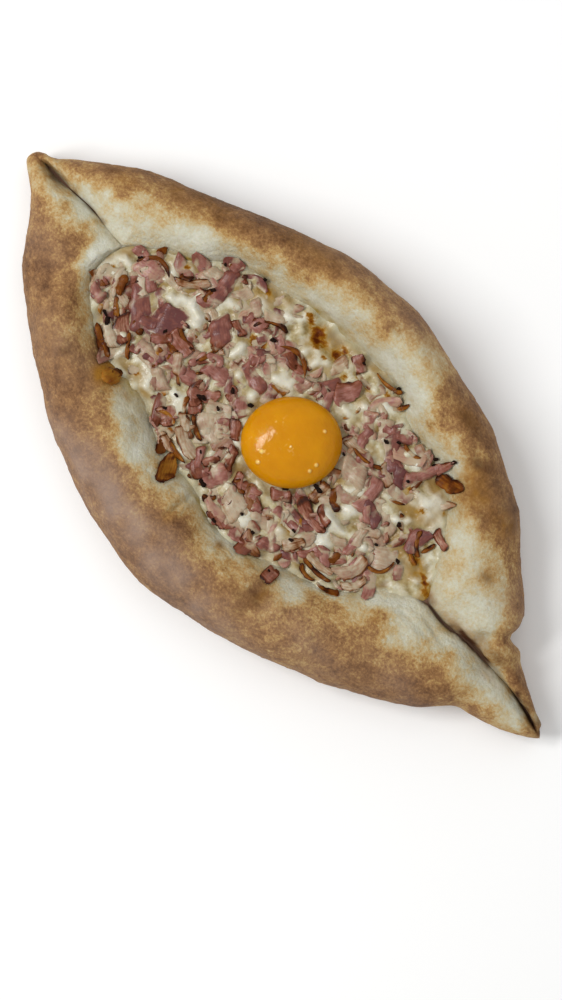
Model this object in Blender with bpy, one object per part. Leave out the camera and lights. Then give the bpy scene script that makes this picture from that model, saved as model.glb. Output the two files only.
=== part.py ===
# A khachapuri: a boat of baked dough with both ends pinched to a point, filled with melted
# cheese and chopped ham, with a raw egg yolk lying in the middle of the filling.
# X runs along the boat from its left tip to its right tip, Y runs across it, Z is up.
# The origin is at the centre of the bounding box, on the surface that the bread rests on.

import math

import bmesh
import bpy
import numpy as np
from mathutils import Matrix
from mathutils.bvhtree import BVHTree

MM = 0.001

# Driving dimensions, in millimetres.
BREAD_LENGTH = 295.0
RIM_HEIGHT = 37.0
TIP_HEIGHT = 12.0
EDGE_HEIGHT = 23.5
FLOOR_HEIGHT = 8.0
TIP_LIFT = 3.0
AXIS_SHIFT = 2.4
CLEARANCE = 0.4

# Plan of the dough's outer edge, from the left tip to the right tip, as X and Y from the line
# that joins the tips.
TIP_LEFT = (-147.5, -1.0)
TIP_RIGHT = (147.5, 0.0)
UPPER_EDGE = [
    TIP_LEFT, (-145.8, 1.9), (-140, 4.9), (-134, 11.3), (-117, 26), (-103, 34.4), (-88, 41),
    (-66, 52.9), (-50, 59.8), (-37, 65.1), (-20, 68.4), (-3, 70.6), (26, 66.5), (46, 63.2),
    (66, 54.7), (78, 49.4), (88, 40.8), (97, 34.2), (106.5, 27.4), (112, 18.4), (121, 12.9),
    (134, 7.6), (145.3, 1.7), TIP_RIGHT,
]
LOWER_EDGE = [
    TIP_LEFT, (-145.8, -4.4), (-134, -12.4), (-117, -31), (-94, -46.3), (-66, -61.7),
    (-50, -67.1), (-37, -71.2), (-20, -74.1), (3, -75.4), (31, -68.6), (54, -59.7),
    (77, -48.4), (85, -43), (94, -37.6), (106, -28.6), (116, -17), (124, -13.7),
    (136, -8.2), (145.3, -2.0), TIP_RIGHT,
]
# The two closed creases, each from the tip's end of it to the filling's end or back.
CREASE_LEFT = [(-141.5, 0.8), (-128, 1.6), (-115, 2.9), (-105, 2.3), (-97, 2.4)]
CREASE_RIGHT = [(80, 1.2), (90, 0.9), (101, 3.2), (113, 3.4), (126, 3.8), (137, 3), (142.5, 1)]
# The edge of the filling on each side, from the left crease to the right crease.
UPPER_WELL = [
    CREASE_LEFT[-1], (-91, 8.5), (-84, 13.5), (-75, 18.5), (-66, 28), (-54, 34.5), (-38, 39),
    (-20, 43.5), (0, 45.5), (13, 44.5), (24, 39.5), (38, 38), (52, 35), (61, 26), (69, 14),
    CREASE_RIGHT[0],
]
LOWER_WELL = [
    CREASE_LEFT[-1], (-97.5, -6), (-93, -16.5), (-84, -23.5), (-73, -28.8), (-60, -28.4),
    (-48, -29.5), (-36, -34.5), (-23, -37), (-10, -36.8), (5, -40.5), (18, -37.5),
    (32, -31.5), (44, -26.5), (53, -21.5), (60, -12.5), (68, -4.5), CREASE_RIGHT[0],
]

# Ribs run from the creases and the filling out to the edge. These are the shares of the way
# round one side at which the filling starts and ends, on the inside and on the outside.
WELL_SHARES = (0.18, 0.82)
UPPER_OUTER_SHARES = (0.17, 0.80)
LOWER_OUTER_SHARES = (0.155, 0.80)
RIBS_CREASE = 15
RIBS_WELL = 38
STEPS_FLOOR = (0.0, 0.05, 0.16, 0.32, 0.6, 1.0)
STEPS_SLOPE = 6
STEPS_OUTER = 6
STEPS_UNDER = 3
STEPS_BASE = 2

# The rim's section.
CREST_SHARE = 0.47
EQUATOR_SHARE = 0.4
BASE_INSET = 9.0
ROUNDNESS = 2.2
CREASE_DROP = 8.0

# Open slits along the creases: middle X, half the length, half the width and depth.
CREASE_HALF_WIDTH = 0.35
CREASE_DEPTH = 1.4
SLITS = [(-133.5, 6.5, 1.5, 3.2), (87, 9, 0.8, 3.0), (104, 9, 0.9, 2.2), (137, 7, 1.1, 2.6)]

# The yolk, and the way that it lies.
YOLK_CENTRE = (0.5, 2.0)
YOLK_LONG, YOLK_SHORT = 38.2, 34.6
YOLK_TURN = math.radians(49)
YOLK_TOP, YOLK_UNDER = 10.0, 6.5
YOLK_LEVEL = EDGE_HEIGHT + 2.0

# The ham. The main shreds are placed one by one: centre X and Y, length, width, turn in
# degrees, and how far the ends curl up (down where negative).
SHRED_THICKNESS = 2.0
SHRED_SINK = 0.9
MAIN_SHREDS = [
    (-75, -6.5, 19, 8.5, -38, 0.6), (-64, -2.5, 15, 10, 38, -1.6), (-83, 4, 13, 8.5, 18, -0.8),
    (-60, 20, 16, 7, 104, 0.8), (-48, 9.5, 12, 8.5, -32, 0.5), (-55, -5.5, 11, 6, -6, 1.0),
    (-84, -11, 14, 4.5, -54, 1.4), (-73, -18.5, 11, 6, -34, 1.6), (-42, 21, 9, 6.5, 12, 0.5),
    (-27, 7.5, 14, 6.5, -10, 0.8), (-37, -1.5, 11, 7, 8, 0.6), (-22, -3, 9, 7, -48, 0.9),
    (-34, -10.5, 11, 5, 38, 1.3), (-23, -17, 14, 10, -24, 0.4), (-22, 23, 13, 5, -4, -1.2),
    (-37.5, -27, 8, 7, -30, 0.9), (-9, -27, 12, 9, 62, 0.8), (3.5, -29, 11, 9.5, -8, 0.5),
    (-25, -28, 14, 5, -16, 1.2), (1, 29.5, 10, 7.5, 66, 1.2), (14, 29.5, 10, 5, -50, 0.8),
    (28, 28, 15, 7.5, -34, 0.8), (37.5, 20, 12, 6.5, -14, -1.4), (34, 10.5, 15, 6, -80, 0.6),
    (24, 13.5, 12, 9, 8, 0.4), (26, -11.5, 16, 4.5, -8, 1.2), (23, -17.5, 16, 4.5, 8, 0.9),
    (44.5, -7, 9, 4.5, -80, 0.7), (43, -22, 13, 4, 6, 1.0), (56, -2, 13, 10, 34, -1.0),
    (50, -12.5, 12, 5.5, 74, 1.0), (29, -24.5, 11, 5, 48, 0.9), (12.5, -34, 9, 5.5, 16, 0.6),
]
SMALL_SHREDS = 30
SMALL_LENGTHS = (5.5, 9.5)
SMALL_WIDTHS = (3.0, 5.0)
SEED = 11
SHRED_SEGMENTS = 3

# How far the shreds keep from the dough, and how far round a point the dough is looked at.
SHRED_GAP = 0.5
SHRED_REACH = 1.2

# Bits that lie on the dough, clear of the filling, given in the same way.
STRAY_BITS = [
    (32.5, -38.5, 6.5, 6, 80, 0), (69, 23, 7.5, 3.4, -8, 0), (57.5, 37.5, 10.5, 4.6, 8, 0),
    (-22.5, -43.5, 9, 5, -52, 0), (45.5, 43.5, 9.5, 3, 68, 0),
]

DOUGH_COLOUR = (0.36, 0.22, 0.11, 1)
FILLING_COLOUR = (0.45, 0.30, 0.22, 1)
YOLK_COLOUR = (0.72, 0.28, 0.0, 1)


def clear_scene():
    for old in list(bpy.data.objects):
        bpy.data.objects.remove(old)


def smooth_step(value):
    t = np.clip(value, 0, 1)
    return t * t * (3 - 2 * t)


def smooth_curve(points, shares):
    """Points at these shares of the length of a smooth curve through the given points."""
    p = np.array(points, float)
    ends = np.vstack([2 * p[0] - p[1], p, 2 * p[-1] - p[-2]])
    t = np.linspace(0, 1, 24, endpoint=False)[:, None]
    spans = []
    for a, b, c, d in zip(ends[:-3], ends[1:-2], ends[2:-1], ends[3:]):
        bend = (2 * a - 5 * b + 4 * c - d) * t**2 + (3 * b - a - 3 * c + d) * t**3
        spans.append(0.5 * (2 * b + (c - a) * t + bend))
    fine = np.vstack([*spans, p[-1:]])
    run = np.concatenate([[0], np.cumsum(np.linalg.norm(np.diff(fine, axis=0), axis=1))])
    return np.column_stack([np.interp(shares * run[-1], run, fine[:, k]) for k in (0, 1)])


def rib_shares():
    """Where the ribs stand, as shares of the way round one side, closer together at the tips."""
    start, end = WELL_SHARES
    ease = 1 - np.cos(np.linspace(0, math.pi / 2, RIBS_CREASE + 1))
    left = start * ease
    right = 1 - (1 - end) * ease[::-1]
    well = np.linspace(start, end, RIBS_WELL + 1)
    return np.concatenate([left[:-1], well, right[1:]])


def inner_points(well, shares):
    """The inside line of one side: the left crease, the filling's edge, the right crease."""
    start, end = WELL_SHARES
    left = smooth_curve(CREASE_LEFT, np.clip(shares / start, 0, 1))
    middle = smooth_curve(well, np.clip((shares - start) / (end - start), 0, 1))
    right = smooth_curve(CREASE_RIGHT, np.clip((shares - end) / (1 - end), 0, 1))
    return np.where((shares < start)[:, None], left, np.where((shares > end)[:, None], right, middle))


def slit_sizes(x, shares):
    """Half the width and the depth of the crease at each X. Both fade to nothing at its ends."""
    half = np.full_like(x, CREASE_HALF_WIDTH)
    depth = np.full_like(x, CREASE_DEPTH)
    for middle, reach, half_width, slit_depth in SLITS:
        bump = np.clip(1 - ((x - middle) / reach) ** 2, 0, 1)
        half = np.maximum(half, half_width * np.sqrt(bump))
        depth = np.maximum(depth, slit_depth * np.sqrt(bump))
    fade = np.clip(np.minimum(shares, 1 - shares) / 0.012, 0, 1)
    return half * fade, depth * fade


def rim_bulges(x, side):
    """Slow rises and dips of the rim, as hand-shaped dough has, fading towards the tips."""
    fade = np.clip(1 - (x / 140) ** 2, 0, 1)
    slow = np.sin(x / 19 + 1.1 * side) + 0.6 * np.sin(x / 10.5 + 2.3 - 0.8 * side)
    return 0.9 * fade * slow


def crest_height(x, side):
    """The rim's height along the boat: tall amidships, low at the pinched tips."""
    arch = np.clip(1 - np.abs(x / 154) ** 2.6, 0, 1) ** 0.75
    tail = 3.0 * smooth_step((x - 103) / 14)
    return TIP_HEIGHT + (RIM_HEIGHT - TIP_HEIGHT) * arch - tail + rim_bulges(x, side)


def base_height(x):
    """The underside is flat, and lifts a little at the two tips."""
    return TIP_LIFT * smooth_step((np.abs(x) - 116) / 31)


def groove(x, y, start, end, width, depth):
    """A soft valley along the line from start to end."""
    (x0, y0), (x1, y1) = start, end
    run_x, run_y = x1 - x0, y1 - y0
    share = np.clip(((x - x0) * run_x + (y - y0) * run_y) / (run_x**2 + run_y**2), 0, 1)
    gap = np.hypot(x - x0 - share * run_x, y - y0 - share * run_y)
    return -depth * np.exp(-((gap / width) ** 2))


def surface_relief(x, y):
    """Folds of the dough: the pleat on the lower rim, and the fold where the right tail starts."""
    pleat = groove(x, y, (-8.5, -38), (-9, -50), 2.2, 1.6)
    tail_fold = groove(x, y, (103, 8), (113.5, 20), 2.6, 2.2)
    tuck = groove(x, y, (-100, 8.5), (-91, 7), 1.8, 0.9)
    blister = 1.2 * np.exp(-((x + 63.5) ** 2 + (y + 33.5) ** 2) / 10)
    return pleat + tail_fold + tuck + blister


def filling_lumps(x, y):
    """The uneven top of the melted cheese."""
    broad = np.sin(x / 6.1 + 0.7) * np.cos(y / 5.3 - 0.4)
    fine = np.sin(x / 2.9 + y / 3.7) * np.sin(y / 2.6 - x / 4.4 + 1.2)
    return 0.7 * broad + 0.35 * fine


def side_ribs(side):
    """One half of the boat. For each rib: the plan of its ends, and the heights along it."""
    shares = rib_shares()
    start, end = WELL_SHARES
    upper = side > 0
    outer_shares = UPPER_OUTER_SHARES if upper else LOWER_OUTER_SHARES
    along = np.interp(shares, [0, start, end, 1], [0, *outer_shares, 1])
    outer = smooth_curve(UPPER_EDGE if upper else LOWER_EDGE, along)
    inner_up = inner_points(UPPER_WELL, shares)
    inner_low = inner_points(LOWER_WELL, shares)
    middle = (inner_up + inner_low) / 2
    half, slit_depth = slit_sizes(middle[:, 0], shares)
    inner = (inner_up if upper else inner_low).copy()
    inner[:, 1] += side * half
    crest = inner + CREST_SHARE * (outer - inner)
    top = crest_height(crest[:, 0], side * np.clip(np.minimum(shares, 1 - shares) / 0.05, 0, 1))
    in_well = smooth_step((shares - start + 0.01) / 0.05) * smooth_step((end - shares + 0.01) / 0.05)
    crease_edge = top - CREASE_DROP * np.clip(top / RIM_HEIGHT, 0, 1)
    edge = crease_edge + (EDGE_HEIGHT - crease_edge) * in_well
    half_gap = np.linalg.norm(inner_up - inner_low, axis=1) / 2
    bowl = (edge - FLOOR_HEIGHT) * (1 - np.exp(-((half_gap / 9) ** 2)))
    floor = edge - bowl - slit_depth * (1 - in_well)
    return {
        "shares": shares, "outer": outer, "inner": inner, "middle": middle, "top": top,
        "edge": edge, "floor": floor,
    }


def both_sides():
    """The ribs of the upper and the lower side, with one floor line between them."""
    upper, lower = side_ribs(1), side_ribs(-1)
    floor = (upper["floor"] + lower["floor"]) / 2
    upper["floor"] = lower["floor"] = floor
    return upper, lower


def bowl_height(ribs, share):
    """The height of the well's skin, at this share of the way from its edge to its middle."""
    fall = 1 - (1 - min(1, share / 0.5)) ** 2
    return plan_mix(ribs["edge"], ribs["floor"], fall)


def plan_mix(a, b, share):
    return a + (b - a) * share


def dough_rows(ribs):
    """Rows of points across the dough on one side, from the middle of the well floor, over the
    rim and round the outside, to the middle of the underside."""
    inner, outer, middle = ribs["inner"], ribs["outer"], ribs["middle"]
    width = np.linalg.norm(outer - inner, axis=1)
    base = base_height(outer[:, 0])
    equator = base + (ribs["top"] - base) * EQUATOR_SHARE
    columns = []

    def column(plan, height):
        columns.append(np.column_stack([plan, height]))

    for share in reversed(STEPS_FLOOR[1:]):
        column(plan_mix(inner, middle, share), bowl_height(ribs, share))
    for step in range(STEPS_SLOPE):
        share = step / STEPS_SLOPE
        rise = 1 - (1 - share) ** 2
        plan = plan_mix(inner, outer, CREST_SHARE * share)
        height = ribs["edge"] + (ribs["top"] - ribs["edge"]) * rise
        fade = min(1, 3 * share)
        column(plan, height + surface_relief(plan[:, 0], plan[:, 1]) * fade)
    for step in range(STEPS_OUTER):
        angle = math.pi / 2 * (1 - step / STEPS_OUTER)
        across = CREST_SHARE + (1 - CREST_SHARE) * max(0, math.cos(angle)) ** (2 / ROUNDNESS)
        up = math.sin(angle) ** (2 / ROUNDNESS)
        plan = plan_mix(inner, outer, across)
        height = equator + (ribs["top"] - equator) * up
        column(plan, height + surface_relief(plan[:, 0], plan[:, 1]) * up)
    inset = np.minimum(BASE_INSET, 0.45 * width) / width
    for step in range(STEPS_UNDER + 1):
        angle = math.pi / 2 * step / STEPS_UNDER
        across = (1 - inset * (1 - math.cos(angle)))[:, None]
        column(plan_mix(inner, outer, across), base + (equator - base) * (1 - math.sin(angle)))
    contact = plan_mix(inner, outer, (1 - inset)[:, None])
    for step in range(1, STEPS_BASE + 1):
        plan = plan_mix(contact, middle, step / STEPS_BASE)
        column(plan, base_height(plan[:, 0]))
    return np.stack(columns, axis=1)


def grid_mesh(name, grids):
    """One closed mesh from grids of points: each quad is split along its shorter diagonal, and
    points that coincide are merged."""
    points = np.vstack([grid.reshape(-1, 3) for grid in grids])
    faces, offset = [], 0
    for grid in grids:
        rows, columns = grid.shape[:2]
        for i in range(rows - 1):
            for j in range(columns - 1):
                a = offset + i * columns + j
                b, c, d = a + columns, a + columns + 1, a + 1
                if math.dist(points[a], points[c]) < math.dist(points[b], points[d]):
                    faces += [(a, b, c), (a, c, d)]
                else:
                    faces += [(a, b, d), (b, c, d)]
        offset += rows * columns
    points[:, 1] += AXIS_SHIFT
    mesh = bpy.data.meshes.new(name)
    mesh.from_pydata((points * MM).tolist(), [], faces)
    work = bmesh.new()
    work.from_mesh(mesh)
    bmesh.ops.remove_doubles(work, verts=work.verts, dist=0.000002)
    bmesh.ops.recalc_face_normals(work, faces=work.faces)
    work.to_mesh(mesh)
    work.free()
    return mesh


def make_material(name, colour, roughness):
    material = bpy.data.materials.new(name)
    material.use_nodes = True
    shader = material.node_tree.nodes["Principled BSDF"]
    shader.inputs["Base Color"].default_value = colour
    shader.inputs["Roughness"].default_value = roughness
    shader.inputs["Metallic"].default_value = 0.0
    return material


def place_object(name, mesh, collection, material=None):
    obj = bpy.data.objects.new(name, mesh)
    collection.objects.link(obj)
    if material is not None:
        obj.data.materials.clear()
        obj.data.materials.append(material)
    return obj


def make_collection(name, helper=False):
    collection = bpy.data.collections.new(name)
    bpy.context.scene.collection.children.link(collection)
    collection.hide_render = helper
    return collection


def keep_largest_body(mesh):
    """Fills a hollow that joining sealed and drops a loose scrap: only the outer skin stays."""
    work = bmesh.new()
    work.from_mesh(mesh)
    bmesh.ops.remove_doubles(work, verts=work.verts, dist=0.000003)
    bmesh.ops.triangulate(work, faces=work.faces)
    left, bodies = set(work.verts), []
    while left:
        body, edge = set(), [left.pop()]
        while edge:
            vertex = edge.pop()
            body.add(vertex)
            near = {e.other_vert(vertex) for e in vertex.link_edges} & left
            left -= near
            edge.extend(near)
        bodies.append(body)
    bodies.sort(key=len)
    loose = [vertex for body in bodies[:-1] for vertex in body]
    bmesh.ops.delete(work, geom=loose, context="VERTS")
    work.to_mesh(mesh)
    work.free()


def join_pieces(obj, pieces, cutter=None):
    """Joins a collection of pieces to an object, cuts the cutter's shape out, and tidies up."""
    join = obj.modifiers.new("Join", "BOOLEAN")
    join.operation = "UNION"
    join.operand_type = "COLLECTION"
    join.collection = pieces
    join.solver = "MANIFOLD"
    if cutter is not None:
        cut = obj.modifiers.new("Cut", "BOOLEAN")
        cut.operation = "DIFFERENCE"
        cut.object = cutter
        cut.solver = "MANIFOLD"
    graph = bpy.context.evaluated_depsgraph_get()
    joined = bpy.data.meshes.new_from_object(obj.evaluated_get(graph))
    obj.modifiers.clear()
    obj.data = joined
    for piece in list(pieces.objects):
        bpy.data.objects.remove(piece)
    bpy.data.collections.remove(pieces)
    keep_largest_body(joined)


def height_finder(obj):
    """A function that gives the height of an object's top at X and Y, in millimetres."""
    work = bmesh.new()
    work.from_mesh(obj.data)
    tree = BVHTree.FromBMesh(work)
    work.free()

    def height(x, y):
        hit = tree.ray_cast((x * MM, (y + AXIS_SHIFT) * MM, 0.2), (0, 0, -1))[0]
        return hit.z / MM if hit else 0.0

    return height


def shred_mesh(shred, bed, guard):
    """A strip of ham, narrower at its ends, sunk a little into its bed and clear of the guard."""
    x, y, length, width, turn, curl = shred
    work = bmesh.new()
    bmesh.ops.create_grid(work, x_segments=SHRED_SEGMENTS, y_segments=1, size=1)
    angle = math.radians(turn)
    for vertex in work.verts:
        u, v = vertex.co.x, vertex.co.y
        half_width = width / 2 * (1 - 0.22 * u * u)
        along, across = u * length / 2, v * half_width
        px = x + along * math.cos(angle) - across * math.sin(angle)
        py = y + along * math.sin(angle) + across * math.cos(angle)
        lift = curl * (u * u - 0.3) + 0.25 * v * math.sin(7 * x + 3 * y)
        pz = max(bed(px, py) + lift - SHRED_SINK, guard(px, py))
        vertex.co = (px * MM, (py + AXIS_SHIFT) * MM, pz * MM)
    bmesh.ops.triangulate(work, faces=work.faces)
    skin = list(work.faces)
    lower = bmesh.ops.duplicate(work, geom=skin)["geom"]
    lower_faces = [g for g in lower if isinstance(g, bmesh.types.BMFace)]
    for vertex in {v for face in skin for v in face.verts}:
        vertex.co.z += SHRED_THICKNESS * MM
    bmesh.ops.reverse_faces(work, faces=lower_faces)
    open_edges = [edge for edge in work.edges if edge.is_boundary]
    bmesh.ops.bridge_loops(work, edges=open_edges)
    bmesh.ops.triangulate(work, faces=work.faces)
    bmesh.ops.recalc_face_normals(work, faces=work.faces)
    mesh = bpy.data.meshes.new("shred")
    work.to_mesh(mesh)
    work.free()
    return mesh


def small_shreds(upper, lower):
    """Places for the small shreds: an even spread over the filling, off the yolk and clear of
    the main shreds. The turn and the size of each are drawn from a seeded generator."""
    draw = np.random.default_rng(SEED)
    start, end = WELL_SHARES
    found, count = [], 0
    while len(found) < SMALL_SHREDS and count < 4000:
        count += 1
        share = start + (end - start) * ((0.5 + count * 0.7548776662) % 1)
        across = (0.5 + count * 0.5698402910) % 1
        low = [np.interp(share, lower["shares"], lower["inner"][:, k]) for k in (0, 1)]
        high = [np.interp(share, upper["shares"], upper["inner"][:, k]) for k in (0, 1)]
        gap = math.dist(low, high)
        keep, length, width, turn, curl = draw.random(5)
        margin = 5.5 / max(gap, 11.1)
        if keep * 78 > gap or not margin < across < 1 - margin:
            continue
        x, y = (plan_mix(low[k], high[k], across) for k in (0, 1))
        taken = [(a, b, 0.42 * c) for a, b, c, *_ in MAIN_SHREDS]
        taken += [(a, b, 0.5 * c) for a, b, c, *_ in found]
        taken.append((*YOLK_CENTRE, YOLK_LONG / 2 + 2.5))
        if any(math.hypot(x - a, y - b) < reach + 1.5 for a, b, reach in taken):
            continue
        size = SMALL_LENGTHS[0] + (SMALL_LENGTHS[1] - SMALL_LENGTHS[0]) * length
        breadth = SMALL_WIDTHS[0] + (SMALL_WIDTHS[1] - SMALL_WIDTHS[0]) * width
        found.append((x, y, size, breadth, 180 * turn, 2 * curl - 0.6))
    return found


def filling_core(upper, lower):
    """The melted cheese: its underside follows the well at a small gap, and its top is uneven."""
    start, end = WELL_SHARES
    inside = np.nonzero((upper["shares"] > start + 0.012) & (upper["shares"] < end - 0.012))[0]
    steps = STEPS_FLOOR[1:]
    tops, bottoms = [], []
    for ribs, order in ((lower, steps), (upper, steps[::-1][1:])):
        for share in order:
            plan = plan_mix(ribs["inner"], ribs["middle"], share)[inside]
            under = bowl_height(ribs, share)[inside] + CLEARANCE
            dome = 1.6 * (1 - (1 - share) ** 2)
            lumps = filling_lumps(plan[:, 0], plan[:, 1]) * min(1, 3 * share)
            top = np.maximum(ribs["edge"][inside] - 0.6 + dome + lumps, under + 1.0)
            tops.append(np.column_stack([plan, top]))
            bottoms.append(np.column_stack([plan, under]))
    loop = np.stack(tops + bottoms[::-1] + tops[:1], axis=1)
    ends = []
    for rib in (0, -1):
        top_line, bottom_line = (np.stack(part, axis=1)[rib] for part in (tops, bottoms))
        ends.append(np.stack([top_line, bottom_line], axis=0))
    return grid_mesh("ham_and_cheese", [loop, *ends])


def yolk_mesh(name, swell=0.0):
    """A flattened ball, fuller above than below, turned the way that the yolk lies."""
    work = bmesh.new()
    bmesh.ops.create_uvsphere(work, u_segments=28, v_segments=14, radius=1)
    for vertex in work.verts:
        rise = YOLK_TOP if vertex.co.z > 0 else YOLK_UNDER
        vertex.co.x *= (YOLK_LONG / 2 + swell) * MM
        vertex.co.y *= (YOLK_SHORT / 2 + swell) * MM
        vertex.co.z *= (rise + swell) * MM
    centre = (YOLK_CENTRE[0] * MM, (YOLK_CENTRE[1] + AXIS_SHIFT) * MM, YOLK_LEVEL * MM)
    bmesh.ops.transform(work, matrix=Matrix.Rotation(YOLK_TURN, 4, "Z"), verts=work.verts)
    bmesh.ops.translate(work, vec=centre, verts=work.verts)
    mesh = bpy.data.meshes.new(name)
    work.to_mesh(mesh)
    work.free()
    return mesh


def build_dough(collection, upper, lower):
    mesh = grid_mesh("dough_boat", [dough_rows(upper), dough_rows(lower)])
    dough = place_object("dough_boat", mesh, collection, make_material("baked dough", DOUGH_COLOUR, 0.75))
    bare = height_finder(dough)
    bits = make_collection("stray bits", helper=True)
    for index, bit in enumerate(STRAY_BITS):
        place_object(f"stray_bit_{index}", shred_mesh(bit, bare, lambda x, y: 0.0), bits)
    join_pieces(dough, bits)
    return dough, bare


def build_filling(collection, cutters, upper, lower, dough_height):
    core = filling_core(upper, lower)
    filling = place_object("ham_and_cheese", core, collection, make_material("melted cheese", FILLING_COLOUR, 0.4))
    core_height = height_finder(filling)

    def guard(x, y):
        steps = (-SHRED_REACH, 0, SHRED_REACH)
        return SHRED_GAP + max(dough_height(x + a, y + b) for a in steps for b in steps)

    shreds = make_collection("ham shreds", helper=True)
    for index, shred in enumerate(MAIN_SHREDS + small_shreds(upper, lower)):
        place_object(f"shred_{index}", shred_mesh(shred, core_height, guard), shreds)
    pocket = place_object("yolk_pocket", yolk_mesh("yolk_pocket", swell=CLEARANCE), cutters)
    pocket.hide_render = True
    pocket.display_type = "WIRE"
    join_pieces(filling, shreds, cutter=pocket)
    return filling


def build_yolk(collection):
    yolk = place_object("egg_yolk", yolk_mesh("egg_yolk"), collection, make_material("raw yolk", YOLK_COLOUR, 0.15))
    yolk.data.shade_smooth()
    return yolk


def build_khachapuri():
    clear_scene()
    parts = make_collection("khachapuri")
    cutters = make_collection("cutters", helper=True)
    upper, lower = both_sides()
    dough, dough_height = build_dough(parts, upper, lower)
    build_filling(parts, cutters, upper, lower, dough_height)
    build_yolk(parts)
    dough.data.shade_smooth()


build_khachapuri()
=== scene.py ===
# The looks of a khachapuri: a boat of baked dough, melted cheese, chopped ham and a raw yolk.
# Plan points are in millimetres from the line that joins the two tips: x runs along the boat,
# y across it and z up. Every finished mesh is in metres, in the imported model's frame.
import itertools
import math

import bmesh
import bpy
import numpy as np
from mathutils import Matrix


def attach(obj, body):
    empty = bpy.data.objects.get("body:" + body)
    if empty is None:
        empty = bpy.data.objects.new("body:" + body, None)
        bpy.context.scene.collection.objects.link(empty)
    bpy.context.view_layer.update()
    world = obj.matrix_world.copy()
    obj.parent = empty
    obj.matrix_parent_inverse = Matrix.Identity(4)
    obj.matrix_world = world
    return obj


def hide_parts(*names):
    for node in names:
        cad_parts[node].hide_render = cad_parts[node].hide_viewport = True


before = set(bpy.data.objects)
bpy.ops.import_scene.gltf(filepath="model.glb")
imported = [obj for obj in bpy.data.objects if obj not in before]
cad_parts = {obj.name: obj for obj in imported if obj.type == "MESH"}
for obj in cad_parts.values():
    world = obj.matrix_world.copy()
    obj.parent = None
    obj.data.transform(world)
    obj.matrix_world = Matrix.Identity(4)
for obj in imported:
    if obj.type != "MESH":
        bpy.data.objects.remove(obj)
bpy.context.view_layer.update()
mm = 0.001
tipLineY = 2.4  # mm from the model's X axis to the line of the tips

bread = {
    "rimHeight": 37.0,  # over the table, at mid-length
    "tipHeight": 12.0,
    "edgeHeight": 23.5,  # where the filling meets the rim
    "floorHeight": 8.0,  # the dough under the filling
    "tipLift": 3.0,  # how far the tips rise off the table
    "tailDrop": 3.0,  # how much lower the right tail lies
    "archHalf": 154.0,  # half the length of the arch that the rim's top follows
    "waveHeight": 0.9,  # of the slow waves along the rim's top
    "crestShare": 0.47,  # how far across the rim its top lies
    "equatorShare": 0.4,  # how far up its outside is widest
    "baseInset": 9.0,  # how far the underside draws in
    "roundness": 2.2,  # power of the outside curve, where 2 is an ellipse
    "creaseDrop": 8.0,  # how far the creases lie under the rim's top
    "shutCrease": (0.35, 1.4),  # half width and depth of a crease where it is shut
    "wallSpread": 9.0,  # how gently the well's wall falls to the floor
    "tips": ((-147.5, -1.0), (147.5, 0.0)),
    "upperEdge": [
        (-145.8, 1.9), (-140, 4.9), (-134, 11.3), (-117, 26), (-103, 34.4), (-88, 41), (-66, 52.9),
        (-50, 59.8), (-37, 65.1), (-20, 68.4), (-3, 70.6), (26, 66.5), (46, 63.2), (66, 54.7), (78, 49.4),
        (88, 40.8), (97, 34.2), (106.5, 27.4), (112, 18.4), (121, 12.9), (134, 7.6), (145.3, 1.7),
    ],
    "lowerEdge": [
        (-145.8, -4.4), (-134, -12.4), (-117, -31), (-94, -46.3), (-66, -61.7), (-50, -67.1), (-37, -71.2),
        (-20, -74.1), (3, -75.4), (31, -68.6), (54, -59.7), (77, -48.4), (85, -43), (94, -37.6),
        (106, -28.6), (116, -17), (124, -13.7), (136, -8.2), (145.3, -2.0),
    ],
    "leftCrease": [(-141.5, 0.8), (-128, 1.6), (-115, 2.9), (-105, 2.3), (-97, 2.4)],
    "rightCrease": [(80, 1.2), (90, 0.9), (101, 3.2), (113, 3.4), (126, 3.8), (137, 3), (142.5, 1)],
    "upperWell": [
        (-91, 8.5), (-84, 13.5), (-75, 18.5), (-66, 28), (-54, 34.5), (-38, 39), (-20, 43.5), (0, 45.5),
        (13, 44.5), (24, 39.5), (38, 38), (52, 35), (61, 26), (69, 14),
    ],
    "lowerWell": [
        (-97.5, -6), (-93, -16.5), (-84, -23.5), (-73, -28.8), (-60, -28.4), (-48, -29.5), (-36, -34.5),
        (-23, -37), (-10, -36.8), (5, -40.5), (18, -37.5), (32, -31.5), (44, -26.5), (53, -21.5),
        (60, -12.5), (68, -4.5),
    ],
    # shares of the way from tip to tip at which the filling starts and ends: of the ribs, and of
    # the two outlines
    "wellShares": (0.18, 0.82),
    "upperShares": (0.17, 0.80),
    "lowerShares": (0.155, 0.80),
    # open slits: middle x, half length, half width, depth
    "slits": [(-133.5, 6.5, 1.2, 2.6), (87, 9, 0.8, 2.6), (104, 9, 0.9, 2.2), (137, 7, 1.0, 2.2)],
    "ribs": (52, 196),  # in each crease, and along the filling
    "columns": {"floor": 9, "slope": 46, "outer": 44, "under": 22, "base": 10},
}


# 3t² - 2t³ between low and high, and flat outside them
def smoothStep(low, high, value):
    t = np.clip((value - low) / (high - low), 0, 1)
    return t * t * (3 - 2 * t)


# straight blend of two arrays
def blend(a, b, share):
    return a + (b - a) * share


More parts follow.
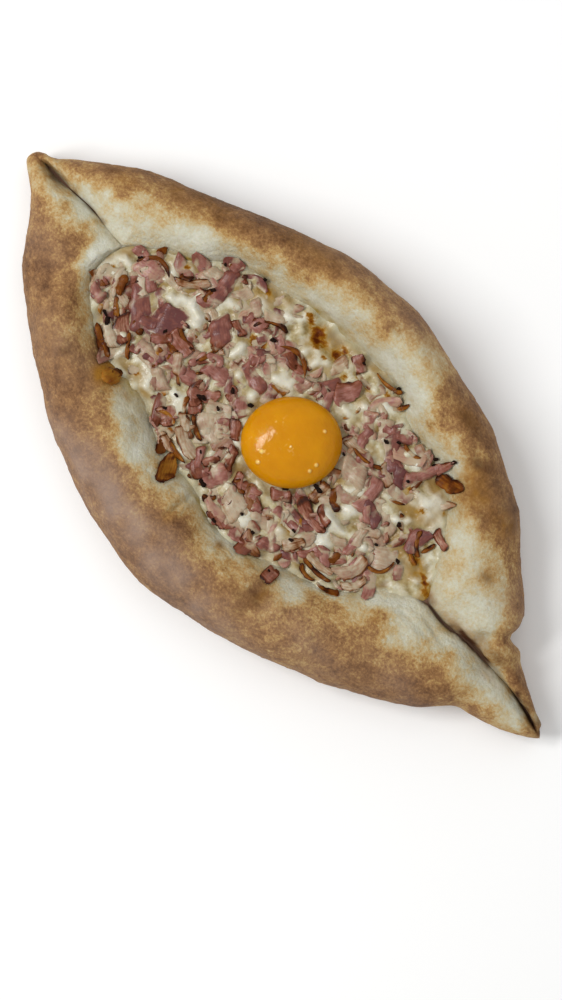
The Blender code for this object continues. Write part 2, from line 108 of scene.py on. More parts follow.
# Catmull-Rom through the points, read at these shares of its length
def smoothCurve(points, shares):
    p = np.array(points, float)
    ends = np.vstack([2 * p[0] - p[1], p, 2 * p[-1] - p[-2]])
    t = np.linspace(0, 1, 24, endpoint=False)[:, None]
    spans = []
    for a, b, c, d in zip(ends[:-3], ends[1:-2], ends[2:-1], ends[3:]):
        bend = (2 * a - 5 * b + 4 * c - d) * t**2 + (3 * b - a - 3 * c + d) * t**3
        spans.append(0.5 * (2 * b + (c - a) * t + bend))
    fine = np.vstack([*spans, p[-1:]])
    run = np.concatenate([[0], np.cumsum(np.linalg.norm(np.diff(fine, axis=0), axis=1))])
    return np.column_stack([np.interp(shares * run[-1], run, fine[:, k]) for k in (0, 1)])


# random numbers on a cubic lattice of this spacing in mm, blended with smooth steps: -1 to 1
def softNoise(points, size, seed):
    table = np.random.default_rng(seed).random(4096) * 2 - 1
    cell = np.floor(points / size).astype(np.int64)
    part = points / size - cell
    part = part * part * (3 - 2 * part)
    total = np.zeros(points.shape[:-1])
    for corner in itertools.product((0, 1), repeat=3):
        key = (cell + corner) @ np.array([157, 1123, 2741])
        weight = np.prod(np.where(corner, part, 1 - part), axis=-1)
        total += weight * table[key % 4096]
    return total


# the same noise on the plan, at height 0
def planNoise(x, y, size, seed):
    return softNoise(np.stack([x, y, np.zeros_like(x)], axis=-1), size, seed)


# e to the minus squared distance from the line between two points, over the squared width
def nearLine(x, y, start, end, width):
    (x0, y0), (x1, y1) = start, end
    runX, runY = x1 - x0, y1 - y0
    share = np.clip(((x - x0) * runX + (y - y0) * runY) / (runX**2 + runY**2), 0, 1)
    gap = np.hypot(x - x0 - share * runX, y - y0 - share * runY)
    return np.exp(-((gap / width) ** 2))


# the sum of soft round spots: x, y, radius along x, radius along y, strength
def spots(x, y, places):
    total = np.zeros_like(x)
    for cx, cy, rx, ry, strength in places:
        total += strength * np.exp(-(((x - cx) / rx) ** 2 + ((y - cy) / ry) ** 2))
    return total


# corner numbers of the quads between neighbouring rows and columns of a grid of points
def gridFaces(rows, columns, wrap=False):
    i, j = np.meshgrid(np.arange(rows - 1), np.arange(columns if wrap else columns - 1), indexing="ij")
    k = (j + 1) % columns
    quads = [i * columns + j, (i + 1) * columns + j, (i + 1) * columns + k, i * columns + k]
    return np.stack(quads, axis=-1).reshape(-1, 4)


# a smooth mesh object from points in mm, with its attributes, doubles merged and normals outwards
def makeObject(name, points, faces, material, attributes):
    mesh = bpy.data.meshes.new(name)
    placed = (points.reshape(-1, 3) + (0, tipLineY, 0)) * mm
    mesh.from_pydata(placed.tolist(), [], faces.tolist())
    for key, values in attributes.items():
        flat = np.ascontiguousarray(values, np.float32).ravel()
        kind, field = ("FLOAT_VECTOR", "vector") if flat.size == 3 * len(placed) else ("FLOAT", "value")
        mesh.attributes.new(key, kind, "POINT").data.foreach_set(field, flat)
    work = bmesh.new()
    work.from_mesh(mesh)
    bmesh.ops.remove_doubles(work, verts=work.verts, dist=0.002 * mm)
    bmesh.ops.recalc_face_normals(work, faces=work.faces)
    work.to_mesh(mesh)
    work.free()
    mesh.shade_smooth()
    mesh.materials.append(material)
    obj = bpy.data.objects.new(name, mesh)
    bpy.context.scene.collection.objects.link(obj)
    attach(obj, "root")
    print(name, len(mesh.vertices), "points")
    return obj


# sRGB hex to linear: c / 12.92 up to 0.04045, and ((c + 0.055) / 1.055) ^ 2.4 above
def linear(hexColour):
    parts = [int(hexColour[k : k + 2], 16) / 255 for k in (1, 3, 5)]
    return (*[c / 12.92 if c <= 0.04045 else ((c + 0.055) / 1.055) ** 2.4 for c in parts], 1)


# adds one node and gives one of its outputs: settings are its properties, its inputs' values or
# a ramp's stops
def addNode(tree, kind, settings, links=None, output=0):
    node = tree.nodes.new("ShaderNode" + kind)
    for key, value in settings.items():
        if key == "stops":
            ramp = node.color_ramp
            while len(ramp.elements) < len(value):
                ramp.elements.new(0.5)
            for element, (place, colour) in zip(ramp.elements, value):
                element.position = place
                element.color = linear(colour) if isinstance(colour, str) else (colour,) * 3 + (1,)
        elif isinstance(key, str) and hasattr(node, key):
            setattr(node, key, value)
        else:
            node.inputs[key].default_value = value
    for key, source in (links or {}).items():
        tree.links.new(source, node.inputs[key])
    return node.outputs[output]


# a material with these values on its shader's sockets, and what it reads: painted values by
# name, then noises by scale per metre, detail and roughness
def newMaterial(name, values, paint=(), noises=()):
    material = bpy.data.materials.new(name)
    material.use_nodes = True
    tree = material.node_tree
    shader = tree.nodes["Principled BSDF"]
    for key, value in values.items():
        shader.inputs[key].default_value = value
    reads = [addNode(tree, "Attribute", {"attribute_name": key}, output="Fac") for key in paint]
    for noise in noises:
        place = addNode(tree, "TexCoord", {}, output="Object")
        settings = dict(zip(("Scale", "Detail", "Roughness"), noise))
        reads.append(addNode(tree, "TexNoise", settings, {"Vector": place}))
    return material, tree, shader, reads


# gives the shader its colour and a pattern that bumps it, and the wet coat over it
def dress(tree, shader, colour, height, strength, distance, wet=True):
    tree.links.new(colour, shader.inputs["Base Color"])
    bump = addNode(tree, "Bump", {"Strength": strength, "Distance": distance}, {"Height": height})
    for key in ("Normal", "Coat Normal") if wet else ("Normal",):
        tree.links.new(bump, shader.inputs[key])


# where the ribs stand, as shares of the way round one side, closer together at the tips
def ribShares():
    start, end = bread["wellShares"]
    crease, well = bread["ribs"]
    ease = 1 - np.cos(np.linspace(0, math.pi / 2, crease + 1))
    middle = np.linspace(start, end, well + 1)
    return np.concatenate([start * ease[:-1], middle, (1 - (1 - end) * ease[::-1])[1:]])


# the inside line of one side: the left crease, the edge of the filling, the right crease
def innerLine(well, shares):
    start, end = bread["wellShares"]
    left, right = bread["leftCrease"], bread["rightCrease"]
    edge = [left[-1], *well, right[0]]
    parts = (
        smoothCurve(left, np.clip(shares / start, 0, 1)),
        smoothCurve(edge, np.clip((shares - start) / (end - start), 0, 1)),
        smoothCurve(right, np.clip((shares - end) / (1 - end), 0, 1)),
    )
    here = [(shares < start)[:, None], (shares <= end)[:, None]]
    return np.where(here[0], parts[0], np.where(here[1], parts[1], parts[2]))


# rim height: tip height plus the rest times (1 - (x / half)^2.6)^0.75, less on the right tail,
# with two slow sine waves that differ from side to side
def crestHeight(x, side):
    arch = np.clip(1 - np.abs(x / bread["archHalf"]) ** 2.6, 0, 1) ** 0.75
    waves = np.sin(x / 19 + 1.1 * side) + 0.6 * np.sin(x / 10.5 + 2.3 - 0.8 * side)
    bulge = bread["waveHeight"] * np.clip(1 - (x / 140) ** 2, 0, 1) * waves
    height = bread["tipHeight"] + (bread["rimHeight"] - bread["tipHeight"]) * arch
    return height - bread["tailDrop"] * smoothStep(103, 117, x) + bulge


# 1 where the tips' creases are almost shut, on the left and on the right
def nearlyShut(x):
    left = smoothStep(-114, -106, x) * smoothStep(-60, -90, x)
    return left + smoothStep(110, 115, x) * smoothStep(130, 124, x)


# the underside lies on the table and lifts towards the tips
def baseHeight(x):
    return bread["tipLift"] * smoothStep(116, 147, np.abs(x))


# one side's ribs: their lines in plan and their heights. The two sides stand apart by the width of
# the crease, which the slits widen and deepen as half ellipses
def sideRibs(side):
    shares = ribShares()
    start, end = bread["wellShares"]
    name = "upper" if side > 0 else "lower"
    along = np.interp(shares, [0, start, end, 1], [0, *bread[name + "Shares"], 1])
    left, right = bread["tips"]
    outer = smoothCurve([left, *bread[name + "Edge"], right], along)
    lines = [innerLine(bread[key], shares) for key in ("upperWell", "lowerWell")]
    middle = (lines[0] + lines[1]) / 2
    x = middle[:, 0]
    half, depth = (np.full_like(x, value) for value in bread["shutCrease"])
    for centre, reach, halfWidth, slitDepth in bread["slits"]:
        bump = np.sqrt(np.clip(1 - ((x - centre) / reach) ** 2, 0, 1))
        half, depth = np.maximum(half, halfWidth * bump), np.maximum(depth, slitDepth * bump)
    half, depth = half * (1 - 0.6 * nearlyShut(x)), depth * (1 - 0.6 * nearlyShut(x))
    fade = np.clip(np.minimum(shares, 1 - shares) / 0.012, 0, 1)
    inner = lines[0 if side > 0 else 1].copy()
    inner[:, 1] += side * half * fade
    crest = blend(inner, outer, bread["crestShare"])
    tipFade = np.clip(np.minimum(shares, 1 - shares) / 0.05, 0, 1)
    top = crestHeight(crest[:, 0], side * tipFade)
    inWell = smoothStep(0, 0.05, shares - start + 0.01) * smoothStep(0, 0.05, end - shares + 0.01)
    creaseEdge = top - bread["creaseDrop"] * np.clip(top / bread["rimHeight"], 0, 1)
    edge = blend(creaseEdge, bread["edgeHeight"], inWell)
    gap = np.linalg.norm(lines[0] - lines[1], axis=1) / 2
    bowl = (edge - bread["floorHeight"]) * (1 - np.exp(-((gap / bread["wallSpread"]) ** 2)))
    floor = edge - bowl - depth * fade * (1 - inWell)
    return {"inner": inner, "outer": outer, "middle": middle, "top": top, "edge": edge, "floor": floor}


# one side's skin as a grid of rib by column: down the well's wall, over the rim as a parabola,
# round its outside as a superellipse, and flat underneath
def doughSide(ribs):
    inner, outer, middle = (ribs[key][:, None, :] for key in ("inner", "outer", "middle"))
    top, edge, floor = (ribs[key][:, None] for key in ("top", "edge", "floor"))
    width = np.linalg.norm(outer - inner, axis=2)
    base = baseHeight(outer[..., 0])
    equator = base + (top - base) * bread["equatorShare"]
    columns, crest, power = bread["columns"], bread["crestShare"], 2 / bread["roundness"]

    def sheet(plan, height, across):
        return np.concatenate([plan, height[..., None], across[..., None]], axis=2)

    one = np.ones_like(top)
    s = np.linspace(1, 0, columns["floor"], endpoint=False)[None, :]
    fall = 1 - (1 - np.minimum(1, s / 0.5)) ** 2
    parts = [sheet(blend(inner, middle, s[..., None]), blend(edge, floor, fall), -s * one)]
    s = np.linspace(0, 1, columns["slope"], endpoint=False)[None, :]
    plan = blend(inner, outer, crest * s[..., None])
    parts.append(sheet(plan, blend(edge, top, 1 - (1 - s) ** 2), crest * s * one))
    angle = np.linspace(math.pi / 2, 0, columns["outer"], endpoint=False)[None, :]
    across = crest + (1 - crest) * np.clip(np.cos(angle), 0, 1) ** power
    height = equator + (top - equator) * np.sin(angle) ** power
    parts.append(sheet(blend(inner, outer, across[..., None]), height, across * one))
    inset = np.minimum(bread["baseInset"], 0.45 * width) / width
    angle = np.linspace(0, math.pi / 2, columns["under"] + 1)[None, :]
    across = 1 - inset * (1 - np.cos(angle))
    height = blend(base, equator, 1 - np.sin(angle))
    parts.append(sheet(blend(inner, outer, across[..., None]), height, 1 + np.sin(angle) * one))
    contact = blend(inner, outer, (1 - inset)[..., None])
    s = np.linspace(0, 1, columns["base"] + 1)[None, 1:]
    plan = blend(contact, middle, s[..., None])
    parts.append(sheet(plan, baseHeight(plan[..., 0]), 2 + s * one))
    return np.concatenate(parts, axis=1)


# unit normals of a grid that closes on itself across, from the cross product of its slopes
def gridNormals(points):
    along = np.gradient(points, axis=0)
    across = (np.roll(points, -1, axis=1) - np.roll(points, 1, axis=1)) / 2
    normal = np.cross(across, along)
    length = np.linalg.norm(normal, axis=2, keepdims=True)
    return normal / np.maximum(length, 1e-9)


baking = {
    # where the browning starts on each side of the boat
    "lowerLine": [
        (-147, -3), (-138, -6), (-130, -7), (-120, -5), (-112, -4.5), (-106, -6), (-103, -14), (-94, -21),
        (-82, -28.5), (-67, -31), (-60, -34), (-54, -38), (-45, -42), (-36, -46), (-27, -47), (-19, -46),
        (-10, -47), (-4, -44), (3, -47), (10, -49), (18, -45), (26, -43), (33, -42), (38, -46), (43, -42),
        (47, -34), (55, -27), (63, -21), (70, -17), (80, -16), (90, -13), (100, -10), (110, -9), (120, -10),
        (130, -8), (147, -3),
    ],
    "upperLine": [
        (-147, 3), (-138, 4.5), (-128, 6.5), (-120, 9), (-112, 13), (-104, 18), (-96, 22), (-90, 25),
        (-82, 31), (-75, 36), (-66, 39), (-58, 42), (-48, 45), (-38, 49), (-30, 51), (-22, 56), (-15, 58),
        (-8, 55), (0, 58), (8, 60), (14, 61), (20, 56), (26, 49), (34, 48), (40, 50), (47, 49), (52, 43),
        (58, 36), (66, 34), (74, 34), (82, 32), (88, 28), (94, 26), (100, 21), (106, 14), (112, 9),
        (120, 7.5), (130, 6.5), (147, 3),
    ],
    # x, y, radius along x, radius along y, how much browner or paler; the pale one at (-101, -6) is painted
    # light on the shaded inner wall at the well's left end
    "patches": [
        (60, 41, 8, 7, 0.16), (74, 40, 9, 6, 0.14), (86, 24, 5, 4, 0.22), (102, 27, 8, 6, 0.10),
        (-12, 49, 6, 2, 0.10), (30, 45, 5, 3, 0.10), (-70, 35, 10, 4, 0.08), (-118, 17, 10, 6, 0.14),
        (-92, 20, 3, 2, 0.08), (-63.5, -34.5, 6, 4.5, 0.20), (-25, -42, 8, 3, 0.06), (22, 60, 9, 4, 0.06),
        (-5, -48, 4, 6, 0.10), (12, -44, 4, 3, 0.10), (36, -43, 4, 6, 0.26), (74, -15, 6, 4, 0.16),
        (10, 64, 12, 4, -0.12), (48, -52, 6, 4, -0.08), (50, -46, 8, 5, -0.08), (-50, -38, 6, 4, -0.12),
        (95, -10, 12, 2, 0.06), (124, 7.5, 16, 4, 0.34), (141, 0, 6, 4, 0.18), (-143, 0, 5, 4, 0.14),
        (78, 51, 8, 4, 0.12), (40, 57, 9, 4, 0.12), (0, 66, 12, 4, 0.06), (-100, -25, 14, 8, 0.10),
        (62, -46, 14, 8, -0.12), (30, -58, 16, 8, -0.05), (-80, 43, 26, 7, 0.14), (18, -56, 16, 6, 0.06),
        (100, -22, 8, 5, 0.08), (-94, 37, 20, 6, 0.17), (-60, 50, 16, 7, 0.12), (20, 54, 20, 4, 0.06),
        (-60, -48, 16, 5, 0.05), (-28, -46, 16, 4, -0.11), (20, -47, 10, 4, -0.08), (76, 18, 18, 9, 0.08),
        (-85, 22, 14, 7, -0.05), (-101, -6, 2.5, 8, -0.12), (122, -6, 12, 5, 0.06), (-60, 56, 26, 5, 0.05),
        (20, -66, 24, 5, 0.04),
    ],
    # the same for the darkest spots; the long ones beside the right tail's crease are painted shade
    "scorchesAndShade": [
        (97, 4.0, 4, 1.5, 0.6), (110.6, 4.8, 1.4, 1.1, 0.8), (112.6, 2.9, 1.2, 1.0, 0.9),
        (137, 4.5, 7, 1.8, 0.4), (109, 7.5, 8, 2.4, 0.25), (123, 8.5, 10, 2.2, 0.28),
        (34, -52, 3.5, 6, 0.3), (58, 40, 6, 5, 0.28), (72, 38, 6, 5, 0.22), (49, 49, 8, 4, 0.2),
        (38, 57, 5, 2.5, 0.6), (44, 56, 3, 2, 0.4), (52, 49, 3, 2.5, 0.7), (56, 51, 2.5, 2, 0.6),
        (73, 48, 4, 4, 0.75), (79, 44, 3, 2.5, 0.4), (86, 24, 3, 2.5, 0.4), (-7, 58, 4, 2.5, 0.3),
        (0, 65, 6, 2, 0.25), (-80, -39.5, 2.5, 2.5, 0.6), (-83, -37, 4, 3, 0.25), (34, -44, 3.5, 3, 1.0),
        (38, -47, 2, 1.5, 0.5), (60, -39, 1, 1, 0.5), (-59.5, -39, 0.8, 0.8, 0.8), (-115, 28, 8, 3, 0.25),
        (-100, 30, 6, 2.5, 0.25), (64, 50, 4, 2, 0.3), (110, 8, 6, 3, 0.3), (-50, 57, 8, 3, 0.15),
        (58, 28, 1.2, 1.2, 0.4), (-131, 0.4, 5, 1.6, 0.25), (143, 1, 4, 2, 0.5), (12, -43, 1.8, 1.2, 0.5),
        (46, -41, 1, 1, 0.6), (30, -50, 6, 3, 0.25), (66, 37, 4, 2, 0.25),
    ],
    # raised blisters: x, y, radius along x, radius along y, height
    "bulges": [(-63.7, -33.6, 3.4, 3.2, 1.1), (57, -40, 5, 4, 0.5), (-30, 58, 6, 4, 0.5)],
    # blisters and stains the colour of caramel
    "amber": [
        (60, 42, 9, 6, 0.22), (74, 43, 8, 7, 0.2), (50, 48, 7, 4, 0.15), (28, -50, 8, 6, 0.12),
        (-63.8, -34.0, 3.6, 3.8, 1.5), (-66, -32, 5, 4, 0.4), (-53, -33.5, 2.5, 1.2, 0.5),
        (60, 41, 5, 5, 0.45), (53, 45, 3, 4, 0.4), (36, -44, 2.5, 4, 0.6), (86, 24, 3, 2.5, 0.5),
        (58, 27, 1.2, 1.6, 0.6), (12, -44, 2, 2, 0.5), (-99, 31, 5, 3, 0.3), (76, 42, 5, 5, 0.35),
        (37, 57, 6, 3, 0.35), (-8, -50, 2, 5, 0.35), (43, -40, 2, 3, 0.3), (78, 3.5, 4, 1.6, 0.7),
        (103, 4.5, 10, 2.6, 0.75), (115, 0.5, 5, 1.8, 0.3), (90, 3.2, 6, 1.4, 0.35), (-92, 37, 24, 7, 0.24),
        (-50, 56, 22, 7, 0.27), (-88, -40, 22, 8, 0.12), (-115, 20, 6, 4, 0.3), (70, -17, 4, 2, 0.3),
        (20, -38, 5, 1.2, 0.5),
    ],
    # dark seams along the creases, browned crust with painted crease shade, and one painted shadow under
    # the left slit: start, end, width in mm, strength
    "seamsAndShade": [
        ((77, 0.2), (92, 1.2), 1.5, 0.7), ((93, 2.4), (102, 3.6), 1.6, 1.3),
        ((102, 3.6), (110, 4.0), 1.5, 0.9), ((112, 3.8), (128, 4.4), 1.1, 0.35),
        ((128, 4.6), (144.5, 1.8), 1.6, 0.95), ((136, -1.0), (142, -1.2), 0.5, 0.5),
        ((-140, 1.0), (-128, 1.6), 0.9, 0.6), ((-125, 2.3), (-108, 3.0), 0.9, 0.6),
        ((-135, -0.4), (-130.5, -2), 1.7, 0.5), ((66, 6), (80, 2.5), 1.6, 0.5),
    ],
    # flour and steam haze on the outer crust
    "haze": [
        (0, -64, 60, 9, 0.85), (-85, -40, 22, 8, 0.42), (60, -44, 24, 9, 0.45), (-40, -60, 26, 8, 0.6),
        (-50, 60, 30, 5, 0.15), (0, 64, 20, 5, 0.35), (100, 26, 14, 8, 0.35), (95, -28, 16, 7, 0.35),
        (-120, -20, 14, 8, 0.3), (80, 46, 16, 5, 0.25),
    ],
    # butter and oil that ran out of the filling
    "oil": [
        (-76, 18, 8, 2.5, 0.6), (-92, 5, 4, 2.5, 0.6), (-100, 1.5, 5, 2, 0.4), (-95.5, -10, 1.4, 5, 0.5),
        (-57, -30, 10, 3.5, 0.65), (-48, -36, 8, 4, 0.35), (22, -38, 8, 2.2, 0.8), (70, 6, 9, 2, 0.8),
        (60, 10, 5, 3, 0.6), (58, -17, 4, 3, 0.6), (66, -4, 5, 2, 0.6), (54, 22, 5, 5, 0.6),
        (-52, 34, 6, 3, 0.5), (5, 45, 20, 2, 0.4), (-30, 41, 12, 2.5, 0.4), (-63, -34, 5, 4, 0.6),
        (36, 41, 12, 2, 0.4), (-2, -39, 8, 2, 0.5), (60, 32, 4, 4, 0.4),
    ],
}

# small folds of the dough: start, end, width in mm, height in mm (negative is a groove)
folds = [
    ((-8.8, -37), (-9.4, -51), 0.7, -1.3), ((-7.2, -38), (-7.6, -50), 0.6, 0.7),
    ((-11.5, -38), (-12, -50), 1.8, 0.7), ((103, 8), (113.5, 20), 2.6, -2.2),
    ((108, 7), (117, 15), 2.2, 0.9), ((-100, 8.5), (-91, 7), 1.8, -0.9), ((-101, 6), (-92, 4), 0.8, -0.6),
    ((-104, 8.5), (-96, 6), 0.8, -0.5), ((-99, 12), (-90, 9.5), 1.0, -0.4),
    ((-98, -3), (-92, -8), 0.9, -0.4), ((84, -3), (98, -5), 1.2, -0.5), ((74, -8), (90, -7), 1.4, -0.4),
    ((-20, -38), (-22, -46), 1.2, -0.5), ((3, -41), (4, -49), 1.1, -0.5), ((18, -40), (21, -47), 1.2, -0.4),
    ((30, 44), (33, 52), 1.4, -0.4), ((-40, 41), (-42, 48), 1.4, -0.4), ((120, 5.5), (143, 3.2), 0.9, 0.9),
    ((95, 5.5), (113, 5.8), 1.1, 0.8), ((-139, 3.5), (-127, 4), 1.0, 0.7),
]


# mm that the skin stands proud: folds, blisters and lumps of three sizes
def doughRelief(points, across):
    x, y = points[..., 0], points[..., 1]
    total = spots(x, y, baking["bulges"])
    for start, end, width, height in folds:
        total += height * nearLine(x, y, start, end, width)
    lumps = 0.45 * softNoise(points, 11, 1) + 0.22 * softNoise(points, 4.5, 2)
    blisters = smoothStep(0.25, 0.8, softNoise(points, 2.6, 3)) * 0.22
    grain = 0.06 * softNoise(points, 1.3, 4)
    onTop = smoothStep(0.0, 0.10, across) * (1 - smoothStep(1.75, 2.0, across))
    return onTop * (total + lumps + blisters + grain)


# how brown, scorched, hazy, oily and amber the skin is at each point, the scorch with painted crease
# shade in it, and how far inside a slit or down into the well, for painted shade there, from 0 to 1.
# Browning rises over 17 mm across a ragged line on each side
def doughPaint(points, across):
    x, y = points[..., 0], points[..., 1]
    upper, lower = (np.interp(x, *np.array(baking[key]).T) for key in ("upperLine", "lowerLine"))
    ragged = 3.6 * softNoise(points, 9, 11) + 2.4 * softNoise(points, 3.6, 12)
    beyond = np.maximum(y - upper, lower - y) + ragged
    bake = 0.14 + 0.42 * smoothStep(-9, 8, beyond) + 0.10 * smoothStep(6, 20, beyond)
    bake += spots(x, y, baking["patches"])
    for strength, size, seed in ((0.06, 15, 13), (0.08, 5, 14), (0.05, 2, 18)):
        bake += strength * softNoise(points, size, seed)
    bake = np.where(across > 1.0, np.maximum(bake, 0.62), bake)  # the flanks are all brown
    scorch = spots(x, y, baking["scorchesAndShade"]) * (0.75 + 0.5 * softNoise(points, 2.4, 15))
    # seams: browned crust and painted crease shade along the creases
    for start, end, width, strength in baking["seamsAndShade"]:
        scorch += strength * nearLine(x, y, start, end, width) * (0.7 + 0.6 * softNoise(points, 2.6, 19))
    haze = spots(x, y, baking["haze"]) * (0.75 + 0.4 * softNoise(points, 6, 16))
    edgeOil = smoothStep(0.11, 0.0, across) * smoothStep(-0.3, 0.6, softNoise(points, 13, 21))
    oil = spots(x, y, baking["oil"]) + 0.55 * edgeOil * smoothStep(-92, -84, x)
    oil *= 0.9 + 0.5 * softNoise(points, 2.2, 17)
    amber = spots(x, y, baking["amber"]) * (0.9 + 0.5 * softNoise(points, 1.8, 20))
    above = 1 - smoothStep(1.2, 1.9, across)
    paint = {"bake": bake, "scorch": scorch, "haze": haze, "oil": oil, "amber": amber}
    paint = {key: np.clip(values, 0, 1) for key, values in paint.items()}
    for key in ("scorch", "oil", "amber"):
        paint[key] = paint[key] * above
    # painted shade: darker deeper into the slits and down the well's walls, less where a crease is almost
    # shut
    paint["slit"] = smoothStep(0.0, 0.8, -across) * (1 - 0.8 * nearlyShut(x))
    return paint


# Baked wheat dough: a dry, floury skin, pale where it stretched and browned where it rose.
def bakedDough():
    values = {"Specular IOR Level": 0.28, "Subsurface Weight": 0.08, "Subsurface Scale": 0.0025,
              "Subsurface Radius": (1.0, 0.55, 0.25)}
    masks = ("bake", "scorch", "haze", "oil", "slit", "amber")
    # mottling about 1.1 mm across over clouds of 5 mm, with pores 2 mm apart
    noises = ((900.0, 5.0, 0.7), (210.0, 4.0, 0.6))
    material, tree, shader, reads = newMaterial("bakedDough", values, masks, noises)
    bake, scorch, haze, oil, slit, amber, mottle, cloud = reads
    place = addNode(tree, "TexCoord", {}, output="Object")
    fleck = addNode(tree, "TexVoronoi", {"Scale": 480.0, "Randomness": 1.0}, {"Vector": place})
    # each is a value times a factor plus an offset
    spread, wide, gain, thinHaze, dullness = (
        addNode(tree, "Math", {"operation": "MULTIPLY_ADD", "use_clamp": clamp, 1: factor, 2: offset},
                {0: value})
        for value, factor, offset, clamp in (
            (mottle, 0.85, -0.425, False), (cloud, 0.6, -0.3, False), (bake, 1.3, 0.35, True),
            (haze, 0.65, 0.0, False), (oil, -0.32, 0.74, False),
        )
    )
    both = addNode(tree, "Math", {"operation": "ADD"}, {0: spread, 1: wide})
    settings = {"operation": "MULTIPLY_ADD", "use_clamp": True}
    level = addNode(tree, "Math", settings, {0: both, 1: gain, 2: bake})
    colour = addNode(tree, "ValToRGB", {"stops": [
        (0.0, "#d1d0c1"), (0.14, "#c5c1aa"), (0.28, "#c0ae86"), (0.42, "#b59159"), (0.56, "#976f44"),
        (0.72, "#7a5431"), (0.9, "#57361a"),
    ]}, {"Fac": level})
    # tints over the crust: flour haze, oil, caramel, scorch with painted crease shade, and painted shade in
    # the slits
    for share, tint, mixing in (
        (thinHaze, "#a28c7e", "MIX"), (oil, "#c9ab5a", "MULTIPLY"), (amber, "#9a6a1c", "MIX"),
        (scorch, "#45240a", "MIX"), (slit, "#654836", "MIX"),
    ):
        settings = {"data_type": "RGBA", "blend_type": mixing, 7: linear(tint)}
        colour = addNode(tree, "Mix", settings, {0: share, 6: colour}, 2)
    tree.links.new(dullness, shader.inputs["Roughness"])
    pores = addNode(tree, "Math", {"operation": "MULTIPLY_ADD", 1: 0.35}, {0: fleck, 2: mottle})
    dress(tree, shader, colour, pores, 0.8, 0.7 * mm, wet=False)
    return material


upperRibs, lowerRibs = sideRibs(1), sideRibs(-1)
upperRibs["floor"] = lowerRibs["floor"] = (upperRibs["floor"] + lowerRibs["floor"]) / 2
skin = np.concatenate([doughSide(upperRibs), doughSide(lowerRibs)[:, -2:0:-1]], axis=1)
skinPoints, skinAcross = skin[..., :3].copy(), skin[..., 3]
normals = gridNormals(skinPoints)
tipFade = smoothStep(0, 5, np.minimum(np.arange(len(skin)), np.arange(len(skin))[::-1]))[:, None]
paint = doughPaint(skinPoints, skinAcross)
rimColumn = bread["columns"]["floor"] + bread["columns"]["slope"]
outwards = 1 if normals[len(skin) // 2, rimColumn, 2] > 0 else -1
skinPoints += outwards * normals * (tipFade * doughRelief(skinPoints, skinAcross))[..., None]
skinPoints[..., 2] = np.maximum(skinPoints[..., 2], 0)
skinFaces = gridFaces(*skinPoints.shape[:2], wrap=True)
dough = makeObject("doughBoat", skinPoints, skinFaces, bakedDough(), paint)
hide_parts("dough_boat")
print("dough done")

# the height of the dough's upper skin on a square grid of plan cells, for what lies on it, in mm
mapCell = 0.8
mapHalf = (152.0, 80.0)
mapShape = (int(2 * mapHalf[0] / mapCell) + 1, int(2 * mapHalf[1] / mapCell) + 1)


# the highest point in each cell, with empty cells filled from their neighbours
def heightMap(points):
    heights = np.zeros(mapShape)
    cells = np.round((points[:, :2] + mapHalf) / mapCell).astype(int)
    cells = np.clip(cells, 0, np.array(mapShape) - 1)
    np.maximum.at(heights, (cells[:, 0], cells[:, 1]), points[:, 2])
    for _ in range(3):
        near = [np.roll(heights, (a, b), (0, 1)) for a in (-1, 0, 1) for b in (-1, 0, 1)]
        heights = np.where(heights > 0, heights, np.max(near, axis=0))
    return heights


# the map read between its cells, by blending the nearest four
def heightAt(heights, x, y):
    gx = np.clip((x + mapHalf[0]) / mapCell, 0, mapShape[0] - 1.001)
    gy = np.clip((y + mapHalf[1]) / mapCell, 0, mapShape[1] - 1.001)
    ix, iy = gx.astype(int), gy.astype(int)
    fx, fy = gx - ix, gy - iy
    low = heights[ix, iy] * (1 - fx) + heights[ix + 1, iy] * fx
    high = heights[ix, iy + 1] * (1 - fx) + heights[ix + 1, iy + 1] * fx
    return low * (1 - fy) + high * fy


doughMap = heightMap(skinPoints[skinAcross < 1].reshape(-1, 3))

